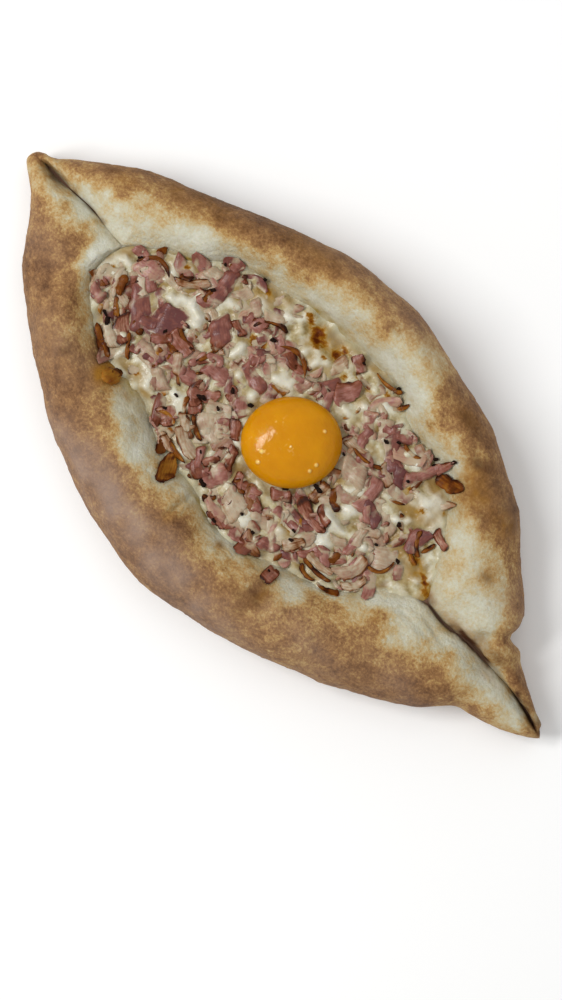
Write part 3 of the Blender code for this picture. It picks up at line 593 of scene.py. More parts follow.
filling = {
    "level": 23.3,
    "dome": 1.4,  # how much higher the middle lies than the edge
    "endRise": (2.3, 0.9),  # how much it climbs towards the well's left and right ends
    "lumps": 1.05,
    "lapOver": 3.2,  # how far the sheet runs on into the dough
    "ribs": 210,
    "columns": 150,
    # melted lumps that swallow the ham: x, y, radius along x, radius along y, height
    "chunks": [
        (-39, 11, 4.5, 4.5, 2.4), (-20, 15, 4.5, 3.6, 2.2), (-21, 28, 5, 2.6, 1.6), (-62, 7, 6, 2.2, 1.8),
        (-56, 6, 2.5, 2.5, 1.6), (34, -5.5, 7, 1.8, 2.0), (35, 1, 2.2, 3, 2.2), (48, -3.5, 1.8, 2.4, 2.0),
        (8, 30, 3.5, 5, 1.4), (-15, 31, 4, 4, 1.3), (5, 24, 3, 3, 1.2), (49, 19, 6, 8, 1.2),
        (56, 24, 5, 5, 0.6), (37, -13, 3.5, 3, 1.6), (-22, 2.5, 3, 2.4, 1.6), (-31, 3.5, 3.5, 1.4, 1.3),
        (-53, 18, 4, 6, 1.3), (-42, -21, 3.5, 5, 1.3), (-57, -22, 6, 3, 1.2), (-45, 28, 5, 3, 1.0),
        (56, 30, 4, 5, 1.0), (5, -17.5, 3, 1.5, 1.2), (-34, -7, 2, 2.5, 1.2), (-70, 3, 5, 2, 1.0),
        (-32, 33, 6, 3, 1.0), (10, 38, 6, 2.5, 1.0), (22, -23, 4, 2.5, 1.4), (10, -30, 3, 3, 1.2),
        (-12, -14, 3, 1.5, 0.9), (34, 33, 3.5, 2, 1.2), (66, 3.5, 6, 1.6, 0.9), (-90, -2, 4, 3, 0.6),
        (43, 13, 5, 3, 1.0),
    ],
    # blistered brown cheese: x, y, radius along x, radius along y, strength
    "toasted": [
        (-36, 17, 4.5, 2, 1.6), (-32, 15, 2.5, 1.6, 1.4), (-25, 37.3, 4.2, 2.2, 1.15),
        (-21, 34.3, 3.2, 2.4, 1.1), (-30.5, 38.4, 2.4, 1.6, 0.4), (-13.4, 36.4, 1.7, 2.0, 1.2),
        (-12.4, 39.9, 1.9, 1.1, 0.9), (-15.6, 31.8, 0.9, 0.9, 0.9), (-5, 33, 3, 2, 0.5),
        (-49, 32, 3, 2, 0.9), (57, 11, 3, 2, 0.8), (65, 7.4, 4, 1.4, 0.75), (72, 5.6, 4.5, 1.8, 0.85),
        (77, 2.6, 2.6, 1.6, 0.6), (52, 22, 1.6, 1.6, 0.7), (59, -16, 1.6, 1.6, 0.8),
        (-57, -25, 2, 1.2, 0.9), (43, 25, 1.2, 2.4, 1.0), (12, 41, 5, 1.2, 0.5), (28, -1, 3, 1.6, 0.6),
        (-17, 11.5, 3, 1.2, 0.9), (2, 37, 5, 1.2, 0.6), (58, 28, 1, 1, 0.6), (42, 1, 2, 1.4, 0.5),
        (-72, 13, 3, 1.2, 0.6), (-93, -7, 1.5, 3, 0.6), (35, 36.5, 5, 1, 0.5), (24, -20, 6, 0.8, 0.6),
        (-75, 15.5, 2, 1, 0.6), (18, 42, 1.2, 2.6, 0.6), (-53, -31, 3, 1.5, 0.6), (66, 9, 4, 1.5, 0.5),
    ],
    # yellow butter and whey
    "buttery": [
        (53, 22, 8, 8, 1.1), (60, 30, 6, 5, 0.7), (-72, 14, 9, 4, 0.7), (-94, 2.5, 3.5, 3.5, 1.3),
        (22, -34, 10, 3, 0.8), (-57, -27, 9, 3, 0.8), (64, 6, 9, 3, 0.8), (-95.6, -10, 1.8, 5.5, 1.3),
        (57, -17, 4, 4, 0.6), (20, 31, 5, 5, 0.2), (-48, 31, 5, 4, 0.5), (-2, -35, 9, 2, 0.6),
        (5, 43, 14, 2.5, 0.5), (-31, 37, 8, 3, 0.5), (43, 33, 4, 4, 0.4), (-21, 15, 3, 2, 0.3),
    ],
}


# the low dome that the cheese follows
def cheeseDome(x, y):
    return filling["level"] + filling["dome"] * np.clip(1 - (x / 95) ** 2 - (y / 45) ** 2, -0.3, 1)


# height of the cheese before its lumps: the dome, its rise at both ends and two sizes of noise
def cheeseBed(x, y):
    rough = 0.8 * planNoise(x, y, 7.5, 21) + 1.1 * planNoise(x, y, 3.2, 22)
    ends = filling["endRise"][0] * smoothStep(-86, -98, x) + filling["endRise"][1] * smoothStep(62, 72, x)
    return cheeseDome(x, y) + ends + filling["lumps"] * rough


# the sheet between the two edges of the well: each rib runs from one side to the other and a
# little beyond, at the cheese's height or just over the dough, and comes back underneath. At both
# ends it slopes down into the crease
def cheeseSheet():
    shares = ribShares()
    start, end = bread["wellShares"]
    inWell = (shares > start + 0.004) & (shares < end - 0.004)
    rows = np.linspace(0, inWell.sum() - 1, filling["ribs"])
    count = np.arange(inWell.sum())

    def line(ribs, key):
        return np.column_stack([np.interp(rows, count, ribs[key][inWell, k]) for k in (0, 1)])[:, None, :]

    middle = line(upperRibs, "middle")
    t = np.linspace(-1, 1, filling["columns"])[None, :, None]
    reach = np.abs(t) * 1.25  # past 1 it runs on into the dough
    inside, beyond = np.clip(reach, 0, 1), np.clip(reach - 1, 0, 1) / 0.25 * filling["lapOver"]
    halves = []
    for ribs in (lowerRibs, upperRibs):
        inner, outer = line(ribs, "inner"), line(ribs, "outer")
        away = (outer - inner) / np.linalg.norm(outer - inner, axis=2, keepdims=True)
        halves.append(blend(middle, inner, inside) + away * beyond)
    plan = np.where(t < 0, *halves)
    x, y = plan[..., 0], plan[..., 1]
    under = heightAt(doughMap, x, y)
    top = cheeseBed(x, y) + spots(x, y, filling["chunks"]) + 0.22 * planNoise(x, y, 1.7, 24)
    top = np.where(beyond[..., 0] > 2.4, np.minimum(top, under - 0.5), top)
    fromLeft, fromRight = (np.arange(len(top))[::step, None] for step in (1, -1))
    centre = filling["columns"] // 2
    for fromEnd, crease in ((fromLeft, under[0, centre]), (fromRight, under[-1, centre])):
        top = np.minimum(top, crease - 0.2 + 0.18 * fromEnd)
    low = np.minimum(top - 0.4, under - 0.6)
    low[0], low[-1] = top[0], top[-1]
    low[:, 0], low[:, -1] = top[:, 0], top[:, -1]
    upperSkin, lowerSkin = (np.concatenate([plan, height[..., None]], axis=2) for height in (top, low))
    margin = np.broadcast_to(smoothStep(0.86, 1.02, inside + beyond / 8), plan[..., :1].shape)[..., 0]
    margin = np.maximum(margin, smoothStep(7, 1, fromLeft))
    pairs = ((upperSkin, lowerSkin), (margin, margin))
    return (np.concatenate([over, below[:, -2:0:-1]], axis=1) for over, below in pairs)


# how toasted and buttery the cheese is at each point, how deep, for painted shade in its hollows
# where butter also pools, how much it is a lump of curd, for whiter curd with a painted sheen on
# its top, and how near the rim
def cheesePaint(points, margin):
    x, y = points[..., 0], points[..., 1]
    toasted = spots(x, y, filling["toasted"]) * (0.75 + 0.7 * planNoise(x, y, 1.7, 31))
    butter = spots(x, y, filling["buttery"]) + 0.24 + 0.7 * planNoise(x, y, 4.5, 32)
    height = points[..., 2] - cheeseDome(x, y)
    deep, curd = (smoothStep(*ends, height) for ends in ((0.0, -1.7), (0.2, 1.8)))
    margin = np.clip(margin + 0.35 * planNoise(x, y, 3.1, 33), 0, 1) * (1 - 0.6 * np.clip(butter, 0, 1))
    butter = np.clip(butter + 0.35 * deep, 0, 0.9) * (1 - 0.6 * curd)
    return {"toasted": np.clip(toasted, 0, 1), "butter": butter, "deep": deep, "curd": curd,
            "margin": margin}


# Melted sulguni-style cheese: milky and slightly see-through, oily, with brown blisters.
def meltedCheese():
    values = {"Roughness": 0.4, "IOR": 1.45, "Coat Roughness": 0.12, "Subsurface Weight": 0.25,
              "Subsurface Radius": (1.0, 0.8, 0.5), "Subsurface Scale": 0.003}
    masks = ("toasted", "butter", "deep", "curd", "margin")
    noises = ((260.0, 4.0, 0.55), (900.0, 3.0))  # curds about 4 mm across, and a grain of 1.1 mm
    material, tree, shader, reads = newMaterial("meltedCheese", values, masks, noises)
    toasted, butter, deep, curd, margin, curds, fine = reads
    # the lumps' whiter tops, partly painted sheen, and painted shade in the hollows
    curdWhiteAndSheen, hollowShade = (
        addNode(tree, "Math", {"operation": "MULTIPLY", 1: factor}, {0: value})
        for value, factor in ((curd, 0.8), (deep, 0.6))
    )
    colour = addNode(tree, "ValToRGB", {"stops": [(0.32, "#8a7440"), (0.48, "#b1a37a"), (0.64, "#cdc8b1")]},
                     {"Fac": curds})
    # tints: butter, curd white with a painted sheen, painted shade in the hollows, and the dough-coloured
    # margin
    for part, tint in ((butter, "#92702c"), (curdWhiteAndSheen, "#d6d4c6"), (hollowShade, "#7c5a24"), (margin, "#bdb596")):
        colour = addNode(tree, "Mix", {"data_type": "RGBA", 7: linear(tint)}, {0: part, 6: colour}, 2)
    ragged = addNode(tree, "Math", {"operation": "MULTIPLY_ADD", 1: 0.8, 2: -0.4}, {0: fine})
    level = addNode(tree, "Math", {"operation": "ADD", "use_clamp": True}, {0: toasted, 1: ragged})
    share = addNode(tree, "ValToRGB", {"stops": [(0.1, 0.0), (0.45, 1.0)]}, {"Fac": level})
    browns = [(0.2, "#a88026"), (0.5, "#86560e"), (0.8, "#6a3405"), (1.0, "#4e1f02")]
    brown = addNode(tree, "ValToRGB", {"stops": browns}, {"Fac": level})
    colour = addNode(tree, "Mix", {"data_type": "RGBA"}, {0: share, 6: colour, 7: brown}, 2)
    # the toasted spots are dry
    for key, factor, offset in (("Coat Weight", -0.28, 0.28), ("Specular IOR Level", -0.32, 0.4)):
        gloss = addNode(tree, "Math", {"operation": "MULTIPLY_ADD", 1: factor, 2: offset}, {0: share})
        tree.links.new(gloss, shader.inputs[key])
    both = addNode(tree, "Math", {"operation": "MULTIPLY_ADD", 1: 0.4}, {0: fine, 2: curds})
    dress(tree, shader, colour, both, 0.5, 0.9 * mm)
    return material


cheesePoints, cheeseMargin = cheeseSheet()
cheeseFaces = gridFaces(*cheesePoints.shape[:2], wrap=True)
cheesePainted = cheesePaint(cheesePoints, cheeseMargin)
cheese = makeObject("meltedCheese", cheesePoints, cheeseFaces, meltedCheese(), cheesePainted)
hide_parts("ham_and_cheese")
print("cheese done")

# Each strip: x, y, length, width, turn in degrees, bend, curl of its ends, tone from pale to
# dark, and how toasted its edges are.
hamStrips = [
    (-75, -6.5, 19, 8.5, -38, 0.1, 0.6, 0.75, 0.25), (-64, -2.5, 15, 10, 38, 0.2, -1.6, 0.95, 0.35),
    (-83, 4, 13, 8, 18, 0.1, -0.8, 0.25, 0.35), (-60, 20, 16, 6.5, 104, 0.1, 0.8, 0.7, 0.1),
    (-64, 29, 8, 5, 12, 0.1, 0.8, 0.6, 0.2), (-48, 9.5, 12, 8.5, -32, 0.0, 0.5, 0.7, 0.6),
    (-55, -5, 11, 5.5, -6, 0.1, 1.0, 0.5, 0.9), (-90, -16, 8, 4.5, -10, 0.2, 0.5, 0.35, 0.4),
    (-73, -18, 11, 5.5, -34, 0.3, 1.6, 0.3, 1.0), (-42, 21, 9, 6.5, 12, 0.0, 0.5, 0.45, 0.4),
    (-27, 7.5, 14, 6.5, -10, 0.1, 0.8, 0.65, 0.4), (-37, -1.5, 11, 7, 8, 0.0, 0.6, 0.55, 0.2),
    (-22, -4, 9, 6.5, -48, 0.1, 0.9, 0.6, 0.3), (-34, -10.5, 11, 4.5, 38, 0.3, 1.3, 0.5, 0.9),
    (-21, 22.5, 13, 4.5, -4, 0.3, -1.2, 0.45, 0.9), (-37.5, -27, 8, 6.5, -30, 0.1, 0.9, 0.3, 0.9),
    (-9, -27, 12, 8.5, 62, 0.1, 0.8, 0.45, 0.6), (0, 30.5, 11, 7, 66, 0.1, 1.2, 0.5, 0.8),
    (13, 30, 10, 5, -50, 0.1, 0.8, 0.5, 0.5), (28, 28, 15, 7, -34, 0.1, 0.8, 0.8, 0.2),
    (37, 24.5, 8, 6, -60, 0.2, 0.6, 1.0, 0.2), (34, 11, 15, 5.5, -80, -0.3, 0.6, 0.45, 0.1),
    (26, -10.5, 16, 4, -8, 0.2, 1.3, 0.35, 1.0), (22, -18, 16, 4, 8, 0.15, 0.9, 0.6, 0.5),
    (24, -14.5, 15, 3.6, 2, 0.1, 0.9, 0.75, 0.2), (44.5, -6.5, 9, 4.5, -80, 0.0, 0.7, 0.4, 0.5),
    (13, -14, 8, 5, 40, 0.1, 0.8, 0.55, 0.8), (18.5, -8.5, 7, 5, 4, 0.1, 0.7, 0.7, 0.3),
    (13, -35.5, 8, 5, 16, 0.1, 0.6, 0.5, 0.3), (4.5, -37.5, 9, 4, -4, 0.1, 0.5, 0.4, 1.0),
    (-43, -10.5, 8, 6, 20, 0.1, 0.5, 0.5, 0.2), (-17, -11, 8, 4, -45, 0.1, 0.9, 0.35, 1.0),
    (-10, -19, 9, 3.6, -60, 0.1, 1.0, 0.3, 1.0), (-7, 22.5, 8, 6.5, -20, 0.1, 0.4, 0.55, 0.2),
    (-57, -17, 5, 3, 20, 0.1, 0.5, 0.4, 0.3), (-30, 23, 7, 4, -30, 0.1, 0.5, 0.45, 0.5),
    (24, -29.5, 9, 4.5, 24, 0.1, 0.5, 0.6, 0.1), (32, -26.5, 7, 4.5, 40, 0.1, 0.5, 0.9, 0.1),
    (63.5, 0.5, 6.5, 4, -50, 0.1, 0.3, 0.4, 0.3), (22, 33, 7, 4.5, 20, 0.1, 0.7, 0.6, 0.2),
    (-34, -16.5, 7, 3, 24, 0.1, 0.7, 0.4, 0.9), (-18, -28, 9, 3.5, -52, 0.1, 0.7, 0.5, 0.5),
    (-28, -3, 6, 3.4, -70, 0.1, 1.0, 0.45, 0.8), (-5, 40.5, 7, 4.5, -20, 0.1, 0.9, 0.5, 0.7),
    (4, -21, 9, 4, 20, 0.1, 0.8, 0.5, 0.8), (27, 35, 7, 3.6, 34, 0.1, 0.7, 0.6, 0.3),
    (-69, -9, 8, 5, 30, 0.1, 0.9, 0.8, 0.5), (-79, 1, 7, 4.5, -28, 0.1, 0.5, 0.5, 0.2),
    (-61, -9, 8, 4, 50, 0.1, 1.0, 0.6, 0.8), (17, 24, 9, 4.5, -74, 0.1, 0.5, 0.55, 0.3),
    (-46, -4, 8, 3.2, 80, 0.2, 0.9, 0.4, 0.7), (29, -7, 8, 3, -14, 0.2, 0.9, 0.4, 0.9),
    (8, -24, 8, 5, -30, 0.1, 0.6, 0.5, 0.3), (-31, 13, 6, 3.5, 60, 0.1, 0.6, 0.5, 0.5),
    (-14, -25, 7, 3, 70, 0.1, 1.0, 0.4, 0.9), (41.8, 31, 15, 4.2, 69, 0.1, 0.9, 0.45, 0.5),
    (-2, -22, 6, 3.5, -60, 0.1, 1.0, 0.3, 0.9), (36, -20, 9, 4, 62, 0.1, 0.9, 0.4, 0.7),
    (-45, 15, 7, 3, -10, 0.1, 0.9, 0.4, 1.0), (39, 6, 8, 3.4, -40, 0.1, 0.5, 0.35, 0.2),
]
paleStrips = [
    (-23, -17, 14, 9.5, -24, 0.1, 0.4, 0.3, 0.5), (3.5, -29, 11, 9, -8, 0.1, 0.5, 0.2, 0.3),
    (24, 13, 12, 8.5, 8, 0.1, 0.4, 0.4, 0.3), (56, -1, 13, 10, 34, 0.1, -1.0, 0.3, 0.6),
    (51, -12, 13, 5, 74, 0.6, 1.2, 0.4, 0.5), (-25, -28, 14, 4.5, -16, 0.2, 1.2, 0.2, 0.8),
    (-60, -17, 11, 6, 10, 0.1, 0.5, 0.5, 0.2), (-50, -20, 10, 5.5, -20, 0.1, 0.5, 0.4, 0.3),
    (-74, -23, 10, 4.5, -20, 0.2, 0.7, 0.1, 0.4), (-53, 24, 9, 5.5, 80, 0.1, 0.5, 0.3, 0.3),
    (-31, -23, 8, 4.5, -34, 0.1, 0.6, 0.2, 0.7), (11.5, -27, 7, 5, 40, 0.1, 0.6, 0.3, 0.3),
    (20, -24.5, 9, 4.5, -30, 0.2, 0.6, 0.1, 0.2), (46, 10, 12, 5.5, -30, 0.2, 0.5, 0.4, 0.2),
    (49, 2.5, 8, 5.5, 10, 0.1, 0.6, 0.5, 0.3), (-88, -8, 12, 3.4, -60, 0.3, 0.8, 0.2, 0.6),
    (-39, 28, 9, 4.5, 30, 0.2, 0.6, 0.2, 0.4), (29, 3.5, 10, 5.5, 20, 0.1, 0.5, 0.6, 0.3),
    (-69, 13, 13, 3.4, 46, 0.2, 0.9, 0.4, 0.9), (42, -19.5, 12, 3.4, 8, 0.2, 1.0, 0.3, 0.9),
    (30, -22, 9, 4.5, 60, 0.1, 0.7, 0.3, 0.8), (-94, -12, 9, 2.8, -72, 0.2, 0.6, 0.2, 0.7),
    (-46, 25, 8, 4.5, -30, 0.1, 0.5, 0.5, 0.3), (-74, 8, 9, 4, 10, 0.2, 0.8, 0.3, 0.5),
    (56, -15, 10, 3.2, 64, 0.5, 1.0, 0.2, 0.7), (40, -9, 7, 4, 30, 0.2, 0.7, 0.3, 0.4),
    (-13, 19, 7, 5, 80, 0.1, 0.5, 0.7, 0.2), (18, 19.5, 9, 3.4, 12, 0.2, 0.7, 0.3, 0.7),
    (-82, -18, 10, 3, -34, 0.2, 0.9, 0.3, 0.8), (-50, -11, 9, 4, -46, 0.1, 0.8, 0.4, 0.7),
    (33, 21, 9, 4, -20, 0.2, 0.9, 0.4, 0.7), (-66, 22, 7, 5, 20, 0.1, 0.6, 0.3, 0.1),
    (-30, -33, 9, 3.4, -12, 0.1, 0.8, 0.4, 0.9), (9, -34, 8, 4, 60, 0.1, 0.7, 0.2, 0.2),
    (-84, -1, 8, 4.5, 40, 0.1, 0.6, 0.4, 0.2), (44, -2, 8, 4, -70, 0.1, 0.8, 0.3, 0.4),
]
rindStrips = [
    (-83.5, 8, 14, 1.8, 22, -0.9, 0.5, 0.75, 1.0), (-86, -7.5, 8, 3.6, -62, 0.3, 0.8, 0.5, 1.0),
    (-81, -14.5, 8, 2.2, -40, 0.2, 0.7, 0.25, 1.0), (-75, -26.8, 14, 3.2, -23, 0.1, 0.6, 0.5, 1.0),
    (-58.5, 10, 8, 4, -42, 0.4, 0.8, 0.3, 1.0), (-44.6, 0, 10, 1.6, 80, 0.2, 0.5, 0.4, 1.0),
    (-57.5, -8, 9, 3, -3, 0.2, 0.9, 0.4, 1.0), (-47, -12.5, 10, 1.6, -50, 0.2, 0.5, 0.4, 1.0),
    (-38, 25.5, 13, 2.2, 38, -0.7, 0.6, 0.4, 1.0), (-22, 24.8, 15, 2, -2, -0.8, 0.8, 0.5, 1.0),
    (-17.5, 11.8, 7, 2.4, 20, 0.2, 0.6, 0.5, 1.0), (24, 19, 13, 1.6, 14, 0.3, 0.6, 0.4, 1.0),
    (38.5, 18, 13, 2.2, -20, 1.1, 1.0, 0.6, 1.0), (27, -0.5, 9, 3.8, -24, 0.3, 0.7, 0.6, 1.0),
    (43.5, -14, 6, 3.6, 85, 0.2, 0.4, 0.8, 1.0), (43, -22.5, 13, 1.7, 6, 0.2, 0.7, 0.4, 1.0),
    (41, -26, 8, 1.7, -4, 0.5, 0.7, 0.3, 1.0), (51, -23.8, 9, 1.7, 26, 0.3, 0.7, 0.5, 1.0),
    (58.5, -3.5, 10, 1.5, 58, 0.8, 0.6, 0.3, 1.0), (62.5, 8, 7, 1.6, -20, 0.2, 0.4, 0.25, 1.0),
    (60, 13, 10, 1.8, -48, 0.3, 0.6, 0.3, 1.0), (-27, -21.5, 10, 1.7, -26, 0.2, 0.7, 0.3, 1.0),
    (-35, -19.5, 9, 1.6, -38, 0.6, 0.7, 0.5, 1.0), (-25, -33, 10, 2, -6, 0.2, 0.7, 0.2, 1.0),
    (-13, -31, 10, 2.4, 78, 0.8, 0.8, 0.3, 1.0), (2, 37.8, 11, 2, 4, 0.2, 0.6, 0.5, 1.0),
    (8, 43.6, 12, 1.3, 10, 0.3, 0.4, 0.3, 0.8), (17.5, 41.5, 6.5, 1.8, 58, 0.2, 0.6, 0.2, 1.0),
    (50, 13.5, 6, 2.4, -50, 0.2, 0.6, 0.8, 1.0), (-54, -3, 10, 1.7, -8, 0.3, 1.1, 0.8, 1.0),
    (-70, -13.4, 6, 2.6, -8, 0.2, 0.6, 0.7, 1.0), (-31, -35, 8, 3, -50, 0.2, 0.7, 0.9, 1.0),
    (-4, -35, 5, 2.2, 50, 0.3, 0.6, 0.3, 1.0), (0.5, -23.5, 6, 2.4, -20, 0.3, 0.9, 0.5, 1.0),
    (33, 33.5, 8, 1.5, 8, 0.4, 0.8, 0.3, 1.0), (-61.5, 14.5, 5, 2.2, 100, 0.1, 0.8, 0.4, 1.0),
    (18, 1.5, 7, 1.5, -30, 0.2, 0.7, 0.4, 1.0), (-72, 12.5, 5, 2.2, 30, 0.3, 0.7, 0.5, 1.0),
    (-41, -5, 7, 1.5, 70, 0.2, 0.7, 0.4, 1.0), (-67, -20.5, 10, 1.6, -46, 0.1, 0.7, 0.4, 1.0),
]

stripSettings = {
    "listed": (17, 16),  # stations along and points around
    "scattered": (9, 8),
    # the scattered ones: how many, and the lengths, widths and levels over the cheese that each is
    # drawn from
    "shreds": {"count": 175, "length": (6.5, 13.5), "width": (3.2, 6.2), "level": (-0.2, 0.9), "seed": 8},
    "bits": {"count": 210, "length": (3.5, 8.5), "width": (1.4, 3.8), "level": (-0.2, 0.9), "seed": 5},
    "mainLevel": (0.4, 1.5),
    "sunk": 0.75,  # how far under the cheese a flat strip's edges lie
    "offYolk": 19,  # how far the scattered ones keep from the yolk's middle
    # where few scattered ones lie: x, y, radius along x, radius along y, how few
    "clearings": [
        (-15, 37, 26, 6, 1.2), (51, 22, 8, 9, 1.2), (-39, 12, 5, 5, 1.5), (-20, 16, 5, 3.5, 1.5),
        (34, -5, 8, 2.5, 1.2), (-62, 7, 6, 2.5, 1.2), (-30, 30, 8, 4, 1.0), (66, 6, 10, 5, 1.0),
        (36, -1, 4, 4, 1.0), (-22, 2, 3, 2, 1.0), (38, -13, 4, 3, 1.0), (-58, -22, 7, 3, 0.8),
        (4, -30, 5, 4, 0.8),
    ],
    # where none lie at all
    "bare": [
        (-15.5, 43, 5, 4.5, 1), (-96, 1, 5, 9, 1), (-89, 13, 5, 3, 1), (-17, 36, 6, 5, 1), (75, 4, 6, 5, 1),
        (-98.5, -13, 2.5, 3, 1),
    ],
}


# places for scattered shreds: an even spread over the well, off the yolk and the clearings
def scatteredStrips(values):
    draw, count = np.random.default_rng(values["seed"]), values["count"]
    upperEdge, lowerEdge = np.array(bread["upperWell"]), np.array(bread["lowerWell"])
    x = draw.uniform(-94, 61, count * 6)
    low, high = (np.interp(x, *edge[np.argsort(edge[:, 0])].T) for edge in (lowerEdge, upperEdge))
    y = blend(low + 2, high - 2, draw.random(len(x)))
    keep = (high - low > 7) & (np.hypot(x - yolkShape["x"], y - yolkShape["y"]) > stripSettings["offYolk"])
    keep &= draw.random(len(x)) < (high - low) / 78  # fewer where the well is narrow
    keep &= draw.random(len(x)) > spots(x, y, stripSettings["clearings"])
    x, y = x[keep][:count], y[keep][:count]
    n = len(x)
    columns = [
        x, y, draw.uniform(*values["length"], n), draw.uniform(*values["width"], n),
        draw.uniform(0, 180, n), draw.uniform(-0.6, 0.6, n), draw.uniform(-0.4, 1.6, n), draw.random(n),
        draw.random(n) ** 1.5, draw.uniform(*values["level"], n),
    ]
    return np.column_stack(columns)[spots(x, y, stripSettings["bare"]) < 0.4]


# the listed strips with a level for each
def mainStrips(strips, seed):
    levels = np.random.default_rng(seed).uniform(*stripSettings["mainLevel"], len(strips))
    return np.column_stack([np.array(strips, float), levels])


# strips with a flat boxy section and slanted ends. A curved centre line; a width that tapers and
# wavers along u; a height that curls with u², tilts with v, has its edges sunk into the cheese
# where it lies flat, and never goes into the dough. Painted with a tone, crisp edges, the places
# along the fibre, and a film of cheese where it hardly stands proud
def stripSurface(strips, thickness, seed, grid, node, square):
    draw = np.random.default_rng(seed)
    x, y, length, width, turn, bend, curl, tone, toast, level = (c[:, None, None] for c in strips.T)
    shift, blunt, skew, taper, tilt, side = (draw.random((len(strips), 1, 1)) for _ in range(6))
    shift *= 60
    rows, around = grid
    share = np.linspace(-1, 1, rows - 2)
    share = np.sign(share) * (1 - (1 - np.abs(share)) ** 1.7)  # closer together towards the ends
    u = np.concatenate([[-1], share, [1]])[None, :, None]
    whole = np.concatenate([[0], np.ones(rows - 2), [0]])[None, :, None]
    phi = np.linspace(0, 2 * math.pi, around, endpoint=False)[None, None, :] + math.pi / around
    v, w = (whole * np.sign(wave) * np.abs(wave) ** 0.4 for wave in (np.cos(phi), np.sin(phi)))
    waves = ((0.08, 3.1, 1), (0.07, 7.7, 2), (0.05, 15, 3))  # how much the width wavers, and how often
    half = 0.56 * width * (1 + sum(size * np.sin(rate * u + k * shift) for size, rate, k in waves))
    half = half * (1 + (0.6 * taper - 0.3) * u) * (1 - 0.97 * np.abs(u) ** (2.2 + square * blunt)) ** 0.6
    along = u * length / 2 + (1.4 * skew - 0.7) * v * half * u * u
    along += 0.25 * np.sin(4 * v + shift) * np.abs(u) ** 3
    aside = bend * length / 3 * (u * u - 1 / 3) + v * half
    angle = np.radians(turn)
    px = x + along * np.cos(angle) - aside * np.sin(angle)
    py = y + along * np.sin(angle) + aside * np.cos(angle)
    sway = 0.25 * np.sin(4 * u + shift) * v + 0.25 * np.sin(5.3 * u + 1.7 * shift)
    flat = smoothStep(1.4, 0.7, np.abs(curl)) * smoothStep(1.3, 0.5, toast)
    sink = np.maximum(np.abs(v) ** 4, np.abs(u) ** 8) * flat
    rise = level - sink * (level + stripSettings["sunk"]) + curl * (u * u - 0.3)
    rise = rise + (0.5 * tilt - 0.25) * v * half + sway * np.minimum(1, width / 4)
    # the bed under the strip's middle counts most, so that a wide one stays flat
    bed = 0.6 * cheeseBed(x + 0 * px, y + 0 * py) + 0.4 * cheeseBed(px, py)
    bed = np.maximum(bed + rise, heightAt(doughMap, px, py) + 0.3 + thickness / 2)
    pz = bed + w * thickness / 2 * (1 - 0.75 * np.abs(v) ** 3) * (1 - 0.6 * np.abs(u) ** 6)
    points = np.stack(np.broadcast_arrays(px, py, pz), axis=-1)
    grain = np.stack(np.broadcast_arrays(along + shift, v * half, shift * 3), axis=-1)
    # the side draw says which edge is crisp: both, one or the other, and for half of them the ends
    oneEdge = np.where(side < 0.15, np.abs(v), np.where(side < 0.58, v, -v))
    edge = np.maximum(np.clip(oneEdge, 0, 1) ** 3, np.abs(u) ** 8 * (side > 0.5))
    ragged = 0.5 + 0.5 * planNoise(px, py, 2.2, seed + 1)
    crisp = toast * (edge * (0.3 + 0.9 * ragged) + 0.8 * np.clip(toast - 0.5, 0, 1))
    crisp = np.clip(crisp + 0.45 * smoothStep(0.55, 0.9, ragged) * toast, 0, 1)
    above = pz - cheeseBed(px, py) - spots(px, py, filling["chunks"])
    film = smoothStep(0.75, 0.1, above + 0.45 * planNoise(px, py, 1.6, seed + 2))
    film = film + 0.6 * smoothStep(0.3, 0.7, planNoise(px, py, 3.4, seed + 3)) * (1 - 0.8 * toast)
    return points, {
        "tone": np.broadcast_to(tone, pz.shape), "crisp": np.broadcast_to(crisp, pz.shape), "grain": grain,
        "film": np.clip(film * (node == "ham_and_cheese"), 0, 1),
    }


# all strips of a kind as one mesh; each is a tube that closes at its two ends
def makeStrips(name, strips, thickness, seed, material, node="ham_and_cheese", slot="melted_cheese",
               grid="scattered", square=30):
    points, paint = stripSurface(strips, thickness, seed, stripSettings[grid], node, square)
    count, stations, around = points.shape[:3]
    faces = gridFaces(stations, around, wrap=True)
    allFaces = (faces[None] + np.arange(count)[:, None, None] * stations * around).reshape(-1, 4)
    obj = makeObject(name, points, allFaces, material, paint)
    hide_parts(node)


